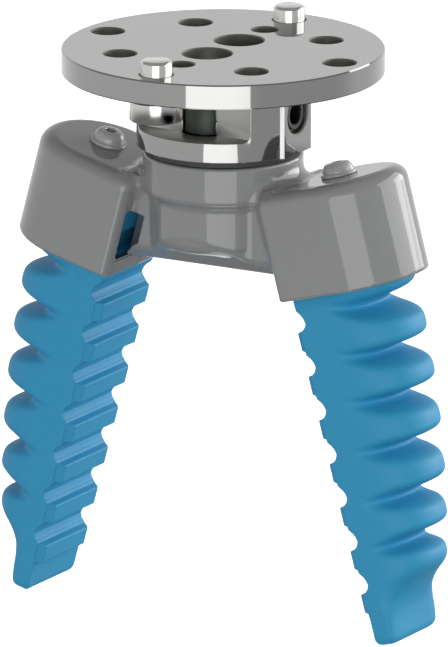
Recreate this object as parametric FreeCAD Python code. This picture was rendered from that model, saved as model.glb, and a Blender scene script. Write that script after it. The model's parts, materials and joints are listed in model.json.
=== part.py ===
"""Soft-finger parallel gripper: aluminium adapter flange, moulded body and two pneumatic bellows fingers.

Millimetres. The origin is the centre of the flange's top face, +Z points up to the robot, and the fingers
lie along +X and -X. Every finger piece is modelled upright in the finger's own frame (X outwards from the
gripping face, Z up along the finger) and then tilted into place. The left finger is the right one turned
half a turn about Z.
"""
import FreeCAD
import Part
import math
import os

V = FreeCAD.Vector
UP = V(0, 0, 1)

# Adapter flange
FLANGE_D = 60.7
FLANGE_T = 4.7
FLANGE_EDGE = 0.3
BOSS_R = 16.3
BOSS_H = 13.9
LARGE_PCD = 50.0
MIDDLE_PCD = 40.0
SMALL_PCD = 31.5
M6_HOLE_D = 6.2
M5_HOLE_D = 5.0
POCKET_HALF_X = 12.15
POCKET_WALL_Y = 9.0
POCKET_H = 10.1
POCKET_CORNER = 1.4
PAD_X = 16.1
PAD_HALF_Y = 5.0
PAD_BEVEL_X = 1.3
PAD_BEVEL_Y = 0.8
PORT_D = 7.5
PORT_DROP = 6.3
PORT_DEPTH = 8.5
AIR_BORE_D = 4.0

# Flange screws, low-head cap screws M6
FLANGE_SCREW_D = 6.0
FLANGE_SCREW_STICKOUT = 2.8
FLANGE_SCREW_HEAD_D = 10.0
FLANGE_SCREW_HEAD_H = 4.0
FLANGE_SCREW_SOCKET = 4.0
FLANGE_SCREW_SOCKET_DEPTH = 2.3
FLANGE_SCREW_END = 0.5

# Body screws, cap screws M5, and their brass inserts
BODY_SCREW_Y = 6.0
BODY_SCREW_D = 5.0
BODY_SCREW_HEAD_D = 8.5
BODY_SCREW_HEAD_H = 5.0
BODY_SCREW_SOCKET = 4.0
BODY_SCREW_SOCKET_DEPTH = 2.5
BODY_SCREW_LENGTH = 14.0
BODY_SCREW_HOLE_D = 5.5
COUNTERBORE_D = 9.3
INSERT_D = 7.0
INSERT_LENGTH = 9.0
THREAD_CLEARANCE = 0.05
SEAT_CLEARANCE = 0.05

# Seal between boss and body
GASKET_R = 14.6
GASKET_T = 1.35

# Air port cartridge
CARTRIDGE_RECESS = 1.0
CARTRIDGE_LENGTH = 6.5
TUBE_D = 4.0
COLLET_RIM_D = 6.0
COLLET_LIP = 0.5

# Moulded body, neck and drum
NECK_R = 15.1
NECK_H = 6.7
NECK_EDGE = 0.4
WAIST_H = 2.0
DRUM_R = 13.4
DRUM_H = 8.9
DRUM_EDGE = 1.4

# Keel web between the two housings
KEEL_BOTTOM_Z = -41.3
KEEL_BOTTOM_HALF_Y = 5.2
KEEL_SLOPE_H = 5.4
KEEL_EDGE_HALF_Y = 12.0
WEB_START_ANGLE = 43.8
WEB_FILLET = 3.0
NECK_FILLET = 3.2
BLEND_SINK = 0.15

# Finger placement: top inner corner of the first rib, and the outward tilt of the finger
FINGER_TILT = 15.0
FACE_X = 20.9
FACE_Z = -50.7

# Finger housing, in the finger's frame
HOUSING_TOP = 27.0
HOUSING_BOTTOM = 6.55
HOUSING_INNER = -0.75
HOUSING_BACK = 24.1
HOUSING_HALF_Y = 12.3
HOUSING_WALL = 1.6
HOUSING_ROOF = 4.0
HOUSING_CORNER = 2.0
HOUSING_TOP_EDGE = 2.8
WINDOW_START_Y = 5.0
WINDOW_WIDTH = 5.1
WINDOW_TOP = 19.6
WINDOW_SILL = 1.7
SLOT_REACH = 3.5
SLOT_RISE = 5.95
SLOT_MIDDLE = (1.0, 2.85)
SHOULDER_REACH = 5.0
SHOULDER_DEPTH = 3.5
CHANNEL_D = 2.4

# Clamp screw of each finger, flanged button head M3
CLAMP_SCREW_X = 11.5
CLAMP_SCREW_D = 3.0
CLAMP_SCREW_HOLE_D = 3.4
CLAMP_SCREW_REACH = 12.0
CLAMP_COLLAR_D = 6.9
CLAMP_COLLAR_H = 0.7
CLAMP_DOME_D = 6.0
CLAMP_DOME_H = 1.9
CLAMP_DOME_TOP_D = 2.8
CLAMP_SOCKET = 2.0
CLAMP_SOCKET_DEPTH = 1.3

# Rigid root insert and its O-ring
ROOT_INSERT_D = 15.0
ROOT_INSERT_H = 3.2
ROOT_STEM_D = 9.0
ROOT_STEM_H = 6.5
ROOT_AIR_X = 8.2
ROOT_AIR_D = 2.0
ORING_R = 5.4
ORING_WIRE = 1.5

# Soft finger
FINGER_HALF_Y = 9.6
FINGER_NARROWING = 0.015
FINGER_SIDE = 4.5
LINKS = 7
RIB_PITCH = 8.483
RIB_FACE = 3.5
RIB_STEP = 1.1
RIB_RISE = 0.28
RIB_LIP = 1.78
RIB_SHOULDER = 1.4
RIB_SHOULDER_H = 0.85
RIB_END_BEVEL = 0.63
RIB_END_BEVEL_DEPTH = 1.74
GROOVE_DEPTH = 2.6
GROOVE_RISE = 1.27
HINGE_X = 3.4
CREST_BACK = 21.75
CREST_SLOPE = 0.012
CREST_CURVE = 0.003
VALLEY_BACK = 14.8
VALLEY_SLOPE = 0.010
VALLEY_CURVE = 0.002
CREST_SHARE = 0.60
CREST_SHARE_STEP = 0.02
LOBE_POWER = 0.62
BACK_POINTS = 4
FAN_START = 5.7
FAN_STEP = 2.4
LINK_GAP = 0.30
LINK_GAP_ANGLE = 1.6
CHAMBER_WALL = 1.8
CHAMBER_FLOOR = 0.6
CHAMBER_ENDS = (0.25, 0.5, 0.75)
PASSAGE_SHARE = 0.4
AIR_PASSAGE_D = 3.0
ROOT_CLEARANCE = 0.15
ROOT_RECESS_TOP = 13.8
ROOT_RECESS_DEPTH = 1.8
ROOT_LOBE_BACK = 21.4
TIP_FACE = 1.4
TIP_BACK = 5.7
TIP_LENGTH = 10.2
TIP_EDGE = 1.2
TIP_TOP_BACK = 10.2
TIP_KNEE_BACK = 8.0
WAIST_BACK = 9.3
WAIST_REACH = 1.5

# Places that follow from the sizes above
FLANGE_BOTTOM_Z = -FLANGE_T
BOSS_BOTTOM_Z = FLANGE_BOTTOM_Z - BOSS_H
POCKET_FLOOR_Z = FLANGE_BOTTOM_Z - POCKET_H
PORT_Z = FLANGE_BOTTOM_Z - PORT_DROP
NECK_TOP_Z = BOSS_BOTTOM_Z - GASKET_T
NECK_BOTTOM_Z = NECK_TOP_Z - NECK_H
DRUM_TOP_Z = NECK_BOTTOM_Z - WAIST_H
DRUM_BOTTOM_Z = DRUM_TOP_Z - DRUM_H
ROOF_BOTTOM = HOUSING_TOP - HOUSING_ROOF
CAVITY_INNER = HOUSING_INNER + HOUSING_WALL
CAVITY_BACK = HOUSING_BACK - HOUSING_WALL
CAVITY_HALF_Y = HOUSING_HALF_Y - HOUSING_WALL
LAST_RIB_S = (LINKS - 1) * RIB_PITCH
WAIST_S = LAST_RIB_S + WAIST_REACH
TIP_END = LAST_RIB_S + TIP_LENGTH


def cylinder(radius, height, base, axis=UP):
    """Round bar from base along axis."""
    return Part.makeCylinder(radius, height, base, axis)


def hexagon_prism(across_flats, height, base):
    """Hexagon socket cutter that stands on base."""
    radius = across_flats / math.sqrt(3)
    turns = [i * math.pi / 3 for i in range(6)]
    corners = [base + V(radius * math.cos(a), radius * math.sin(a), 0) for a in turns]
    return Part.Face(Part.makePolygon(corners + corners[:1])).extrude(V(0, 0, height))


def prism(points, direction):
    """Solid from a closed polygon, pushed along direction."""
    return Part.Face(Part.makePolygon(points + points[:1])).extrude(direction)


def revolve(points):
    """Solid of revolution about Z from (radius, height) points that start and end on the axis."""
    outline = [V(r, 0, z) for r, z in points]
    return Part.Face(Part.makePolygon(outline + outline[:1])).revolve(V(0, 0, 0), UP, 360)


def in_finger_frame(shape):
    """Tilts a piece that was modelled upright into the right finger's place."""
    placed = shape.copy()
    placed.rotate(V(0, 0, 0), V(0, 1, 0), -FINGER_TILT)
    placed.translate(V(FACE_X, 0, FACE_Z))
    return placed


def half_turn(shape):
    """The left finger's copy of a right-hand piece."""
    turned = shape.copy()
    turned.rotate(V(0, 0, 0), UP, 180)
    return turned


def finger_point(x, y, z):
    """Point of the right finger's frame in the gripper's frame."""
    tilt = math.radians(FINGER_TILT)
    across = x * math.cos(tilt) - z * math.sin(tilt)
    along = x * math.sin(tilt) + z * math.cos(tilt)
    return V(FACE_X + across, y, FACE_Z + along)


def adapter_flange():
    """Drilled disc with the boss, screw pockets, port pad and air bores."""
    disc = cylinder(FLANGE_D / 2, FLANGE_T, V(0, 0, FLANGE_BOTTOM_Z))
    disc = disc.makeChamfer(FLANGE_EDGE, [e for e in disc.Edges if e.Closed])
    boss = cylinder(BOSS_R, BOSS_H, V(0, 0, BOSS_BOTTOM_Z))
    shoulder = PAD_HALF_Y + PAD_BEVEL_Y
    pad = prism(
        [
            V(0, -shoulder, BOSS_BOTTOM_Z),
            V(PAD_X - PAD_BEVEL_X, -shoulder, BOSS_BOTTOM_Z),
            V(PAD_X, -PAD_HALF_Y, BOSS_BOTTOM_Z),
            V(PAD_X, PAD_HALF_Y, BOSS_BOTTOM_Z),
            V(PAD_X - PAD_BEVEL_X, shoulder, BOSS_BOTTOM_Z),
            V(0, shoulder, BOSS_BOTTOM_Z),
        ],
        V(0, 0, BOSS_H),
    )
    flange = disc.fuse([boss, pad]).removeSplitter()
    pad_face = V(PAD_X, -shoulder, BOSS_BOTTOM_Z)
    cuts = [Part.makeBox(BOSS_R, 2 * shoulder, BOSS_H, pad_face)]
    cuts += [pocket(side) for side in (-1, 1)]
    for side in (-1, 1):
        large = LARGE_PCD / 2
        for x, y in ((side * large, 0), (0, side * large)):
            cuts.append(cylinder(M6_HOLE_D / 2, FLANGE_T, V(x, y, FLANGE_BOTTOM_Z)))
        diagonal = MIDDLE_PCD / 2 * math.sqrt(0.5)
        for y in (-diagonal, diagonal):
            cuts.append(cylinder(M6_HOLE_D / 2, FLANGE_T, V(side * diagonal, y, FLANGE_BOTTOM_Z)))
        cuts.append(cylinder(M5_HOLE_D / 2, FLANGE_T, V(0, side * SMALL_PCD / 2, FLANGE_BOTTOM_Z)))
        screw = V(0, side * BODY_SCREW_Y, 0)
        cuts.append(cylinder(COUNTERBORE_D / 2, -POCKET_FLOOR_Z, screw + V(0, 0, POCKET_FLOOR_Z)))
        rim_h = POCKET_FLOOR_Z - BOSS_BOTTOM_Z
        cuts.append(cylinder(BODY_SCREW_HOLE_D / 2, rim_h, screw + V(0, 0, BOSS_BOTTOM_Z)))
    cuts.append(cylinder(PORT_D / 2, PORT_DEPTH, V(PAD_X, 0, PORT_Z), V(-1, 0, 0)))
    cuts.append(cylinder(AIR_BORE_D / 2, PAD_X, V(PAD_X, 0, PORT_Z), V(-1, 0, 0)))
    cuts.append(cylinder(AIR_BORE_D / 2, PORT_Z - BOSS_BOTTOM_Z, V(0, 0, BOSS_BOTTOM_Z)))
    return flange.cut(cuts).removeSplitter()


def pocket(side):
    """Milled pocket that frees the head of a body screw from the side of the boss."""
    box = Part.makeBox(2 * POCKET_HALF_X, BOSS_R, POCKET_H, V(-POCKET_HALF_X, POCKET_WALL_Y, POCKET_FLOOR_Z))
    floor_ends = [
        e
        for e in box.Edges
        if abs(e.BoundBox.ZMax - POCKET_FLOOR_Z) < 1e-6 and e.BoundBox.YLength > BOSS_R / 2
    ]
    cutter = box.makeFillet(POCKET_CORNER, floor_ends)
    return cutter if side > 0 else half_turn(cutter)


def cap_screw(head_d, head_h, shank_d, length, socket, socket_depth, end_chamfer):
    """Socket cap screw with its seat at z = 0, head above and shank below."""
    head = cylinder(head_d / 2, head_h, V(0, 0, 0))
    edge = [e for e in head.Edges if e.Closed and e.BoundBox.ZMin > head_h / 2]
    head = head.makeFillet(head_h / 10, edge)
    shank = cylinder(shank_d / 2, length, V(0, 0, -length))
    end = [e for e in shank.Edges if e.Closed and e.BoundBox.ZMax < -length / 2]
    shank = shank.makeChamfer(end_chamfer, end)
    screw = head.fuse(shank).removeSplitter()
    return screw.cut(hexagon_prism(socket, socket_depth, V(0, 0, head_h - socket_depth)))


def flange_screws():
    """Two screws that hold the flange to the robot, heads under the disc and ends standing above it."""
    length = FLANGE_T + FLANGE_SCREW_STICKOUT
    screw = cap_screw(
        FLANGE_SCREW_HEAD_D,
        FLANGE_SCREW_HEAD_H,
        FLANGE_SCREW_D,
        length,
        FLANGE_SCREW_SOCKET,
        FLANGE_SCREW_SOCKET_DEPTH,
        FLANGE_SCREW_END,
    )
    screw.rotate(V(0, 0, 0), V(1, 0, 0), 180)
    screw.translate(V(0, -LARGE_PCD / 2, FLANGE_BOTTOM_Z))
    return Part.makeCompound([screw, half_turn(screw)])


def body_screws():
    """Two screws in the counterbores that draw the flange onto the body."""
    screw = cap_screw(
        BODY_SCREW_HEAD_D,
        BODY_SCREW_HEAD_H,
        BODY_SCREW_D,
        BODY_SCREW_LENGTH,
        BODY_SCREW_SOCKET,
        BODY_SCREW_SOCKET_DEPTH,
        FLANGE_SCREW_END,
    )
    screw.translate(V(0, -BODY_SCREW_Y, POCKET_FLOOR_Z))
    return Part.makeCompound([screw, half_turn(screw)])


def body_inserts():
    """Two threaded brass sleeves set into the top of the body."""
    base = V(0, -BODY_SCREW_Y, NECK_TOP_Z - INSERT_LENGTH)
    sleeve = cylinder(INSERT_D / 2 - SEAT_CLEARANCE, INSERT_LENGTH, base)
    sleeve = sleeve.cut(cylinder(BODY_SCREW_D / 2 + THREAD_CLEARANCE, INSERT_LENGTH, base))
    return Part.makeCompound([sleeve, half_turn(sleeve)])


def face_gasket():
    """Flat rubber seal between boss and neck, with holes for the screws and the air."""
    gasket = cylinder(GASKET_R, GASKET_T, V(0, 0, NECK_TOP_Z))
    holes = [cylinder(AIR_BORE_D / 2, GASKET_T, V(0, 0, NECK_TOP_Z))]
    for side in (-1, 1):
        holes.append(cylinder(BODY_SCREW_HOLE_D / 2, GASKET_T, V(0, side * BODY_SCREW_Y, NECK_TOP_Z)))
    return gasket.cut(holes)


def port_cartridge():
    """Push-in cartridge recessed in the air port, with the lip of its release collet."""
    face = PAD_X - CARTRIDGE_RECESS
    sleeve = cylinder(PORT_D / 2 - SEAT_CLEARANCE, CARTRIDGE_LENGTH, V(face, 0, PORT_Z), V(-1, 0, 0))
    lip = cylinder(COLLET_RIM_D / 2, COLLET_LIP, V(face, 0, PORT_Z), V(1, 0, 0))
    bore_length = CARTRIDGE_LENGTH + COLLET_LIP
    bore = cylinder(TUBE_D / 2, bore_length, V(face + COLLET_LIP, 0, PORT_Z), V(-1, 0, 0))
    return sleeve.fuse(lip).removeSplitter().cut(bore)


def d_outline(inner, back, half_y, z):
    """Closed D-shaped wire at height z: flat inner side, parallel flanks and a round back."""
    centre = back - half_y
    corners = [V(centre, half_y, z), V(inner, half_y, z), V(inner, -half_y, z), V(centre, -half_y, z)]
    edges = [Part.makeLine(a, b) for a, b in zip(corners, corners[1:])]
    edges.append(Part.Arc(corners[3], V(back, 0, z), corners[0]).toShape())
    return Part.Wire(edges)


def d_block(inner, back, half_y, bottom, top):
    """Upright block with a D-shaped plan."""
    return Part.Face(d_outline(inner, back, half_y, bottom)).extrude(V(0, 0, top - bottom))


def housing_shell():
    """Outside of one finger housing, upright, with rounded edges and the shoulder to the neck."""
    block = d_block(HOUSING_INNER, HOUSING_BACK, HOUSING_HALF_Y, HOUSING_BOTTOM, HOUSING_TOP)
    corners = [
        e
        for e in block.Edges
        if e.BoundBox.ZLength > HOUSING_WALL and abs(e.BoundBox.XMax - HOUSING_INNER) < 1e-6
    ]
    block = block.makeFillet(HOUSING_CORNER, corners)
    top = [e for e in block.Edges if e.BoundBox.ZMin > HOUSING_TOP - 1e-6 and e.BoundBox.XLength > 1e-6]
    block = block.makeFillet(HOUSING_TOP_EDGE, top)
    half_y = HOUSING_HALF_Y - HOUSING_TOP_EDGE
    origin = V(HOUSING_INNER - SHOULDER_REACH, -half_y, HOUSING_TOP - SHOULDER_DEPTH)
    shoulder = Part.makeBox(2 * SHOULDER_REACH, 2 * half_y, SHOULDER_DEPTH, origin)
    return block.fuse(shoulder).removeSplitter()


def housing_window():
    """Cutter on the inner side of a housing: a slot through one flank of the web that opens into a window."""
    sill = HOUSING_BOTTOM + WINDOW_SILL
    back = CAVITY_INNER + HOUSING_WALL
    foot = V(0, 0, sill)
    head = V(-SLOT_REACH, 0, sill + SLOT_RISE)
    middle = V(-SLOT_MIDDLE[0], 0, sill + SLOT_MIDDLE[1])
    corners = [head, V(-SLOT_REACH, 0, WINDOW_TOP), V(back, 0, WINDOW_TOP), V(back, 0, sill), foot]
    edges = [Part.Arc(foot, middle, head).toShape()]
    edges += [Part.makeLine(p, q) for p, q in zip(corners, corners[1:])]
    profile = Part.Face(Part.Wire(edges))
    return profile.translated(V(0, WINDOW_START_Y, 0)).extrude(V(0, WINDOW_WIDTH, 0))


def housing_bores():
    """Cavity, clamp screw hole and air outlet of a housing."""
    cavity = d_block(CAVITY_INNER, CAVITY_BACK, CAVITY_HALF_Y, HOUSING_BOTTOM - HOUSING_WALL, ROOF_BOTTOM)
    screw_hole = cylinder(CLAMP_SCREW_HOLE_D / 2, HOUSING_ROOF, V(CLAMP_SCREW_X, 0, ROOF_BOTTOM))
    air_outlet = cylinder(CHANNEL_D / 2, HOUSING_ROOF / 2, V(ROOT_AIR_X, 0, ROOF_BOTTOM))
    return [cavity, screw_hole, air_outlet]


def neck_and_drum():
    """Turned middle of the body: neck, waist and drum."""
    return revolve(
        [
            (0, NECK_TOP_Z),
            (NECK_R - NECK_EDGE, NECK_TOP_Z),
            (NECK_R, NECK_TOP_Z - NECK_EDGE),
            (NECK_R, NECK_BOTTOM_Z),
            (DRUM_R, DRUM_TOP_Z),
            (DRUM_R, DRUM_BOTTOM_Z + DRUM_EDGE),
            (DRUM_R - DRUM_EDGE, DRUM_BOTTOM_Z),
            (0, DRUM_BOTTOM_Z),
        ]
    )


def neck_fillets():
    """Hollow-curved root of the neck where it stands on the tops of the two housings."""
    top = finger_point(HOUSING_INNER, 0, HOUSING_TOP)
    foot_z = top.z + (NECK_R - top.x) * math.tan(math.radians(FINGER_TILT))
    corner = V(NECK_R + NECK_FILLET - BLEND_SINK, 0, foot_z + NECK_FILLET)
    start = V(NECK_R - BLEND_SINK, 0, corner.z)
    middle = corner - V(1, 0, 1) * (NECK_FILLET * math.sqrt(0.5))
    end = V(corner.x, 0, foot_z)
    outside = end - V(0, 0, NECK_FILLET / 2)
    inside = V(NECK_R - NECK_FILLET, 0, outside.z)
    edges = [
        Part.Arc(start, middle, end).toShape(),
        Part.makeLine(end, outside),
        Part.makeLine(outside, inside),
        Part.makeLine(inside, V(inside.x, 0, start.z)),
        Part.makeLine(V(inside.x, 0, start.z), start),
    ]
    ring = Part.Face(Part.Wire(edges)).revolve(V(0, 0, 0), UP, 360)
    half_y = HOUSING_HALF_Y - HOUSING_TOP_EDGE
    span = NECK_R + NECK_FILLET
    low = foot_z - NECK_FILLET
    pieces = []
    for start_x in (-span, NECK_R / 2):
        strip = Part.makeBox(span - NECK_R / 2, 2 * half_y, 2 * NECK_FILLET, V(start_x, -half_y, low))
        pieces.append(ring.common(strip))
    return pieces


def keel_web():
    """Web between the housings: flat flanks, small fillets to the drum, sloped to its bottom edge."""
    start = math.radians(WEB_START_ANGLE)
    centre = V(math.cos(start), math.sin(start), 0) * (DRUM_R + WEB_FILLET - BLEND_SINK)
    root_y = DRUM_R * math.sin(start)
    flank_y = centre.y - WEB_FILLET
    end_x = finger_point(CAVITY_INNER, 0, HOUSING_BOTTOM + WINDOW_SILL).x
    height = NECK_BOTTOM_Z - KEEL_BOTTOM_Z
    plan = Part.makeBox(2 * centre.x, 2 * root_y, height, V(-centre.x, -root_y, KEEL_BOTTOM_Z))
    for sx in (-1, 1):
        for sy in (-1, 1):
            plan = plan.cut(cylinder(WEB_FILLET, height, V(sx * centre.x, sy * centre.y, KEEL_BOTTOM_Z)))
    plan = plan.fuse(Part.makeBox(2 * end_x, 2 * flank_y, height, V(-end_x, -flank_y, KEEL_BOTTOM_Z)))
    edge_z = KEEL_BOTTOM_Z + KEEL_SLOPE_H
    keel = prism(
        [
            V(-end_x, -KEEL_BOTTOM_HALF_Y, KEEL_BOTTOM_Z),
            V(-end_x, KEEL_BOTTOM_HALF_Y, KEEL_BOTTOM_Z),
            V(-end_x, KEEL_EDGE_HALF_Y, edge_z),
            V(-end_x, KEEL_EDGE_HALF_Y, NECK_BOTTOM_Z),
            V(-end_x, -KEEL_EDGE_HALF_Y, NECK_BOTTOM_Z),
            V(-end_x, -KEEL_EDGE_HALF_Y, edge_z),
        ],
        V(2 * end_x, 0, 0),
    )
    return plan.common(keel)


def air_channel():
    """Drilled channel from the air bore under the neck to the roof of the right housing."""
    start = V(0, 0, NECK_BOTTOM_Z - WAIST_H)
    end = finger_point(ROOT_AIR_X, 0, ROOF_BOTTOM + HOUSING_ROOF / 2)
    return cylinder(CHANNEL_D / 2, (end - start).Length, start, end - start)


def gripper_body():
    """Moulded body with both housings, their cavities and windows, the insert holes and the air ways."""
    right = in_finger_frame(housing_shell())
    body = neck_and_drum().fuse([right, half_turn(right), keel_web()] + neck_fillets())
    cuts = [in_finger_frame(c) for c in [housing_window()] + housing_bores()] + [air_channel()]
    cuts += [half_turn(c) for c in cuts]
    for side in (-1, 1):
        base = V(0, side * BODY_SCREW_Y, NECK_TOP_Z - INSERT_LENGTH)
        cuts.append(cylinder(INSERT_D / 2, INSERT_LENGTH, base))
        end = base + V(0, 0, -BODY_SCREW_D)
        cuts.append(cylinder(BODY_SCREW_D / 2 + THREAD_CLEARANCE, BODY_SCREW_D, end))
    air_end = DRUM_TOP_Z - CHANNEL_D / 2
    cuts.append(cylinder(AIR_BORE_D / 2, NECK_TOP_Z - air_end, V(0, 0, air_end)))
    return body.cut(cuts).removeSplitter()


def clamp_screw():
    """Flanged button-head screw that stands on the roof of a housing, upright."""
    seat = V(CLAMP_SCREW_X, 0, HOUSING_TOP)
    collar = cylinder(CLAMP_COLLAR_D / 2, CLAMP_COLLAR_H, seat)
    rise = CLAMP_DOME_H
    low = V(CLAMP_DOME_D / 2, 0, 0)
    high = V(CLAMP_DOME_TOP_D / 2, 0, rise)
    bulge = (low + high) * 0.5 + V(rise, 0, low.x - high.x) * 0.18
    edges = [
        Part.makeLine(V(0, 0, 0), low),
        Part.Arc(low, bulge, high).toShape(),
        Part.makeLine(high, V(0, 0, rise)),
        Part.makeLine(V(0, 0, rise), V(0, 0, 0)),
    ]
    dome = Part.Face(Part.Wire(edges)).revolve(V(0, 0, 0), UP, 360)
    dome.translate(seat + V(0, 0, CLAMP_COLLAR_H))
    shank = cylinder(CLAMP_SCREW_D / 2, CLAMP_SCREW_REACH, seat, -UP)
    screw = collar.fuse([dome, shank]).removeSplitter()
    socket_z = CLAMP_COLLAR_H + CLAMP_DOME_H - CLAMP_SOCKET_DEPTH
    return screw.cut(hexagon_prism(CLAMP_SOCKET, CLAMP_SOCKET_DEPTH, seat + V(0, 0, socket_z)))


def clamp_screws():
    """The two clamp screws, one per finger."""
    right = in_finger_frame(clamp_screw())
    return Part.makeCompound([right, half_turn(right)])


def root_insert():
    """Rigid core of a finger root: plate, threaded stem, O-ring groove and air hole, upright."""
    top = V(CLAMP_SCREW_X, 0, ROOF_BOTTOM)
    plate = cylinder(ROOT_INSERT_D / 2, ROOT_INSERT_H, top, -UP)
    stem = cylinder(ROOT_STEM_D / 2, ROOT_INSERT_H + ROOT_STEM_H, top, -UP)
    core = plate.fuse(stem).removeSplitter()
    thread_r = CLAMP_SCREW_D / 2 + THREAD_CLEARANCE
    ring_in = ORING_R - ORING_WIRE / 2 - SEAT_CLEARANCE
    ring_out = ORING_R + ORING_WIRE / 2 + SEAT_CLEARANCE
    groove_depth = ORING_WIRE + SEAT_CLEARANCE
    groove = cylinder(ring_out, groove_depth, top, -UP).cut(cylinder(ring_in, groove_depth, top, -UP))
    thread = cylinder(thread_r, CLAMP_SCREW_REACH - HOUSING_ROOF + SEAT_CLEARANCE, top, -UP)
    air = cylinder(ROOT_AIR_D / 2, ROOT_INSERT_H + ROOT_STEM_H, V(ROOT_AIR_X, 0, ROOF_BOTTOM), -UP)
    return core.cut([groove, thread, air])


def root_oring():
    """O-ring in the groove on top of the root insert, upright."""
    centre = V(CLAMP_SCREW_X, 0, ROOF_BOTTOM - SEAT_CLEARANCE / 2 - ORING_WIRE / 2)
    return Part.makeTorus(ORING_R, ORING_WIRE / 2, centre)


def boundary(index):
    """Height of the hinge line above link index + 1, and the tilt of the cut through it in degrees."""
    return GROOVE_RISE - index * RIB_PITCH, FAN_START - index * FAN_STEP


def half_width(index):
    """Half the width of a link."""
    return FINGER_HALF_Y - FINGER_NARROWING * index * RIB_PITCH


def crest_back(z):
    """Distance of the lobe crests from the gripping face at height z."""
    return CREST_BACK + CREST_SLOPE * z - CREST_CURVE * z * z


def valley_back(z):
    """Distance of the valleys between the lobes from the gripping face at height z."""
    return VALLEY_BACK + VALLEY_SLOPE * z - VALLEY_CURVE * z * z


def finger_section(z, tilt, front, back, half_y):
    """Wire across the finger: flat front, straight flanks and elliptic back, tilted about the hinge line."""
    side = min(FINGER_SIDE, (front + back) / 2)
    corners = [V(side, half_y, 0), V(front, half_y, 0), V(front, -half_y, 0), V(side, -half_y, 0)]
    edges = [Part.makeLine(a, b) for a, b in zip(corners, corners[1:])]
    turns = [math.pi * (i / BACK_POINTS - 0.5) for i in range(BACK_POINTS + 1)]
    points = [V(side + (back - side) * math.cos(a), half_y * math.sin(a), 0) for a in turns]
    curve = Part.BSplineCurve()
    curve.interpolate(Points=points, InitialTangent=V(1, 0, 0), FinalTangent=V(-1, 0, 0))
    edges.append(curve.toShape())
    wire = Part.Wire(edges)
    wire.rotate(V(HINGE_X, 0, 0), V(0, 1, 0), -tilt)
    wire.translate(V(0, 0, z))
    return wire


def lobe(index, wall, turns):
    """Bellows lobe between two cuts, wall inside the skin, through sections at the given turns."""
    top_z, top_tilt = boundary(index)
    low_z, low_tilt = boundary(index + 1)
    top_z -= LINK_GAP / 2
    low_z += LINK_GAP / 2
    top_tilt -= LINK_GAP_ANGLE / 2
    low_tilt += LINK_GAP_ANGLE / 2
    crest = CREST_SHARE - index * CREST_SHARE_STEP
    wires = []
    for turn in turns:
        share = turn * crest * 2 if turn < 0.5 else crest + (turn - 0.5) * (1 - crest) * 2
        z = top_z + (low_z - top_z) * share
        tilt = top_tilt + (low_tilt - top_tilt) * share
        rise = math.sin(math.pi * turn) ** LOBE_POWER if 0 < turn < 1 else 0
        back = valley_back(z) + (crest_back(z) - valley_back(z)) * rise
        front = HINGE_X + (CHAMBER_FLOOR if wall else 0)
        wires.append(finger_section(z, tilt, front, back - wall, half_width(index) - wall))
    return Part.makeLoft(wires, True)


def tip_block():
    """Last link without its rib: the waist behind and the flat, thin tip with its rounded end."""
    top_z, top_tilt = boundary(LINKS - 1)
    half_y = half_width(LINKS - 1)
    shoulder_s = (LINKS - 1) * RIB_PITCH + RIB_FACE + RIB_SHOULDER_H
    top_s = LINK_GAP / 2 - top_z
    upper = [
        finger_section(-top_s, top_tilt - LINK_GAP_ANGLE / 2, HINGE_X, TIP_TOP_BACK, half_y),
        finger_section(-WAIST_S, top_tilt / 2, HINGE_X, WAIST_BACK, half_y),
        finger_section(-shoulder_s, 0, HINGE_X, TIP_KNEE_BACK, half_y),
    ]
    toe = [
        finger_section(-shoulder_s, 0, TIP_FACE, TIP_KNEE_BACK, half_y),
        finger_section(TIP_EDGE - TIP_END, 0, TIP_FACE, TIP_BACK, half_y),
        finger_section(-TIP_END, 0, TIP_FACE + TIP_EDGE / 2, TIP_BACK - TIP_EDGE / 2, half_y - TIP_EDGE),
    ]
    return Part.makeLoft(upper, True).fuse(Part.makeLoft(toe, True, True)).removeSplitter()


def rib(index):
    """Gripping rib of a link: flat face, small step, ramp down to the groove and beveled ends."""
    top = -index * RIB_PITCH
    start = top + GROOVE_RISE - LINK_GAP / 2
    outline = [
        V(HINGE_X, 0, start),
        V(GROOVE_DEPTH, 0, start),
        V(RIB_LIP, 0, top + RIB_RISE),
        V(0, 0, top),
        V(0, 0, top - RIB_FACE),
        V(RIB_STEP, 0, top - RIB_FACE - RIB_RISE),
        V(RIB_SHOULDER, 0, top - RIB_FACE - RIB_SHOULDER_H),
    ]
    if index < LINKS - 1:
        end = start - RIB_PITCH + LINK_GAP
        outline += [V(GROOVE_DEPTH, 0, end), V(HINGE_X, 0, end)]
    else:
        outline.append(V(HINGE_X, 0, top - RIB_FACE - RIB_SHOULDER_H))
    half_y = half_width(index)
    solid = prism([p + V(0, -half_y, 0) for p in outline], V(0, 2 * half_y, 0))
    bevels = []
    for side in (-1, 1):
        edge = [
            V(0, side * (half_y - RIB_END_BEVEL), top - RIB_PITCH),
            V(0, side * half_y, top - RIB_PITCH),
            V(RIB_END_BEVEL_DEPTH, side * half_y, top - RIB_PITCH),
        ]
        bevels.append(prism(edge, V(0, 0, 2 * RIB_PITCH)))
    return solid.cut(bevels)


def air_passage_x(index):
    """Distance of the air passage through a cut from the gripping face."""
    z, tilt = boundary(index)
    return HINGE_X + PASSAGE_SHARE * (valley_back(z) - HINGE_X)


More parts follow.
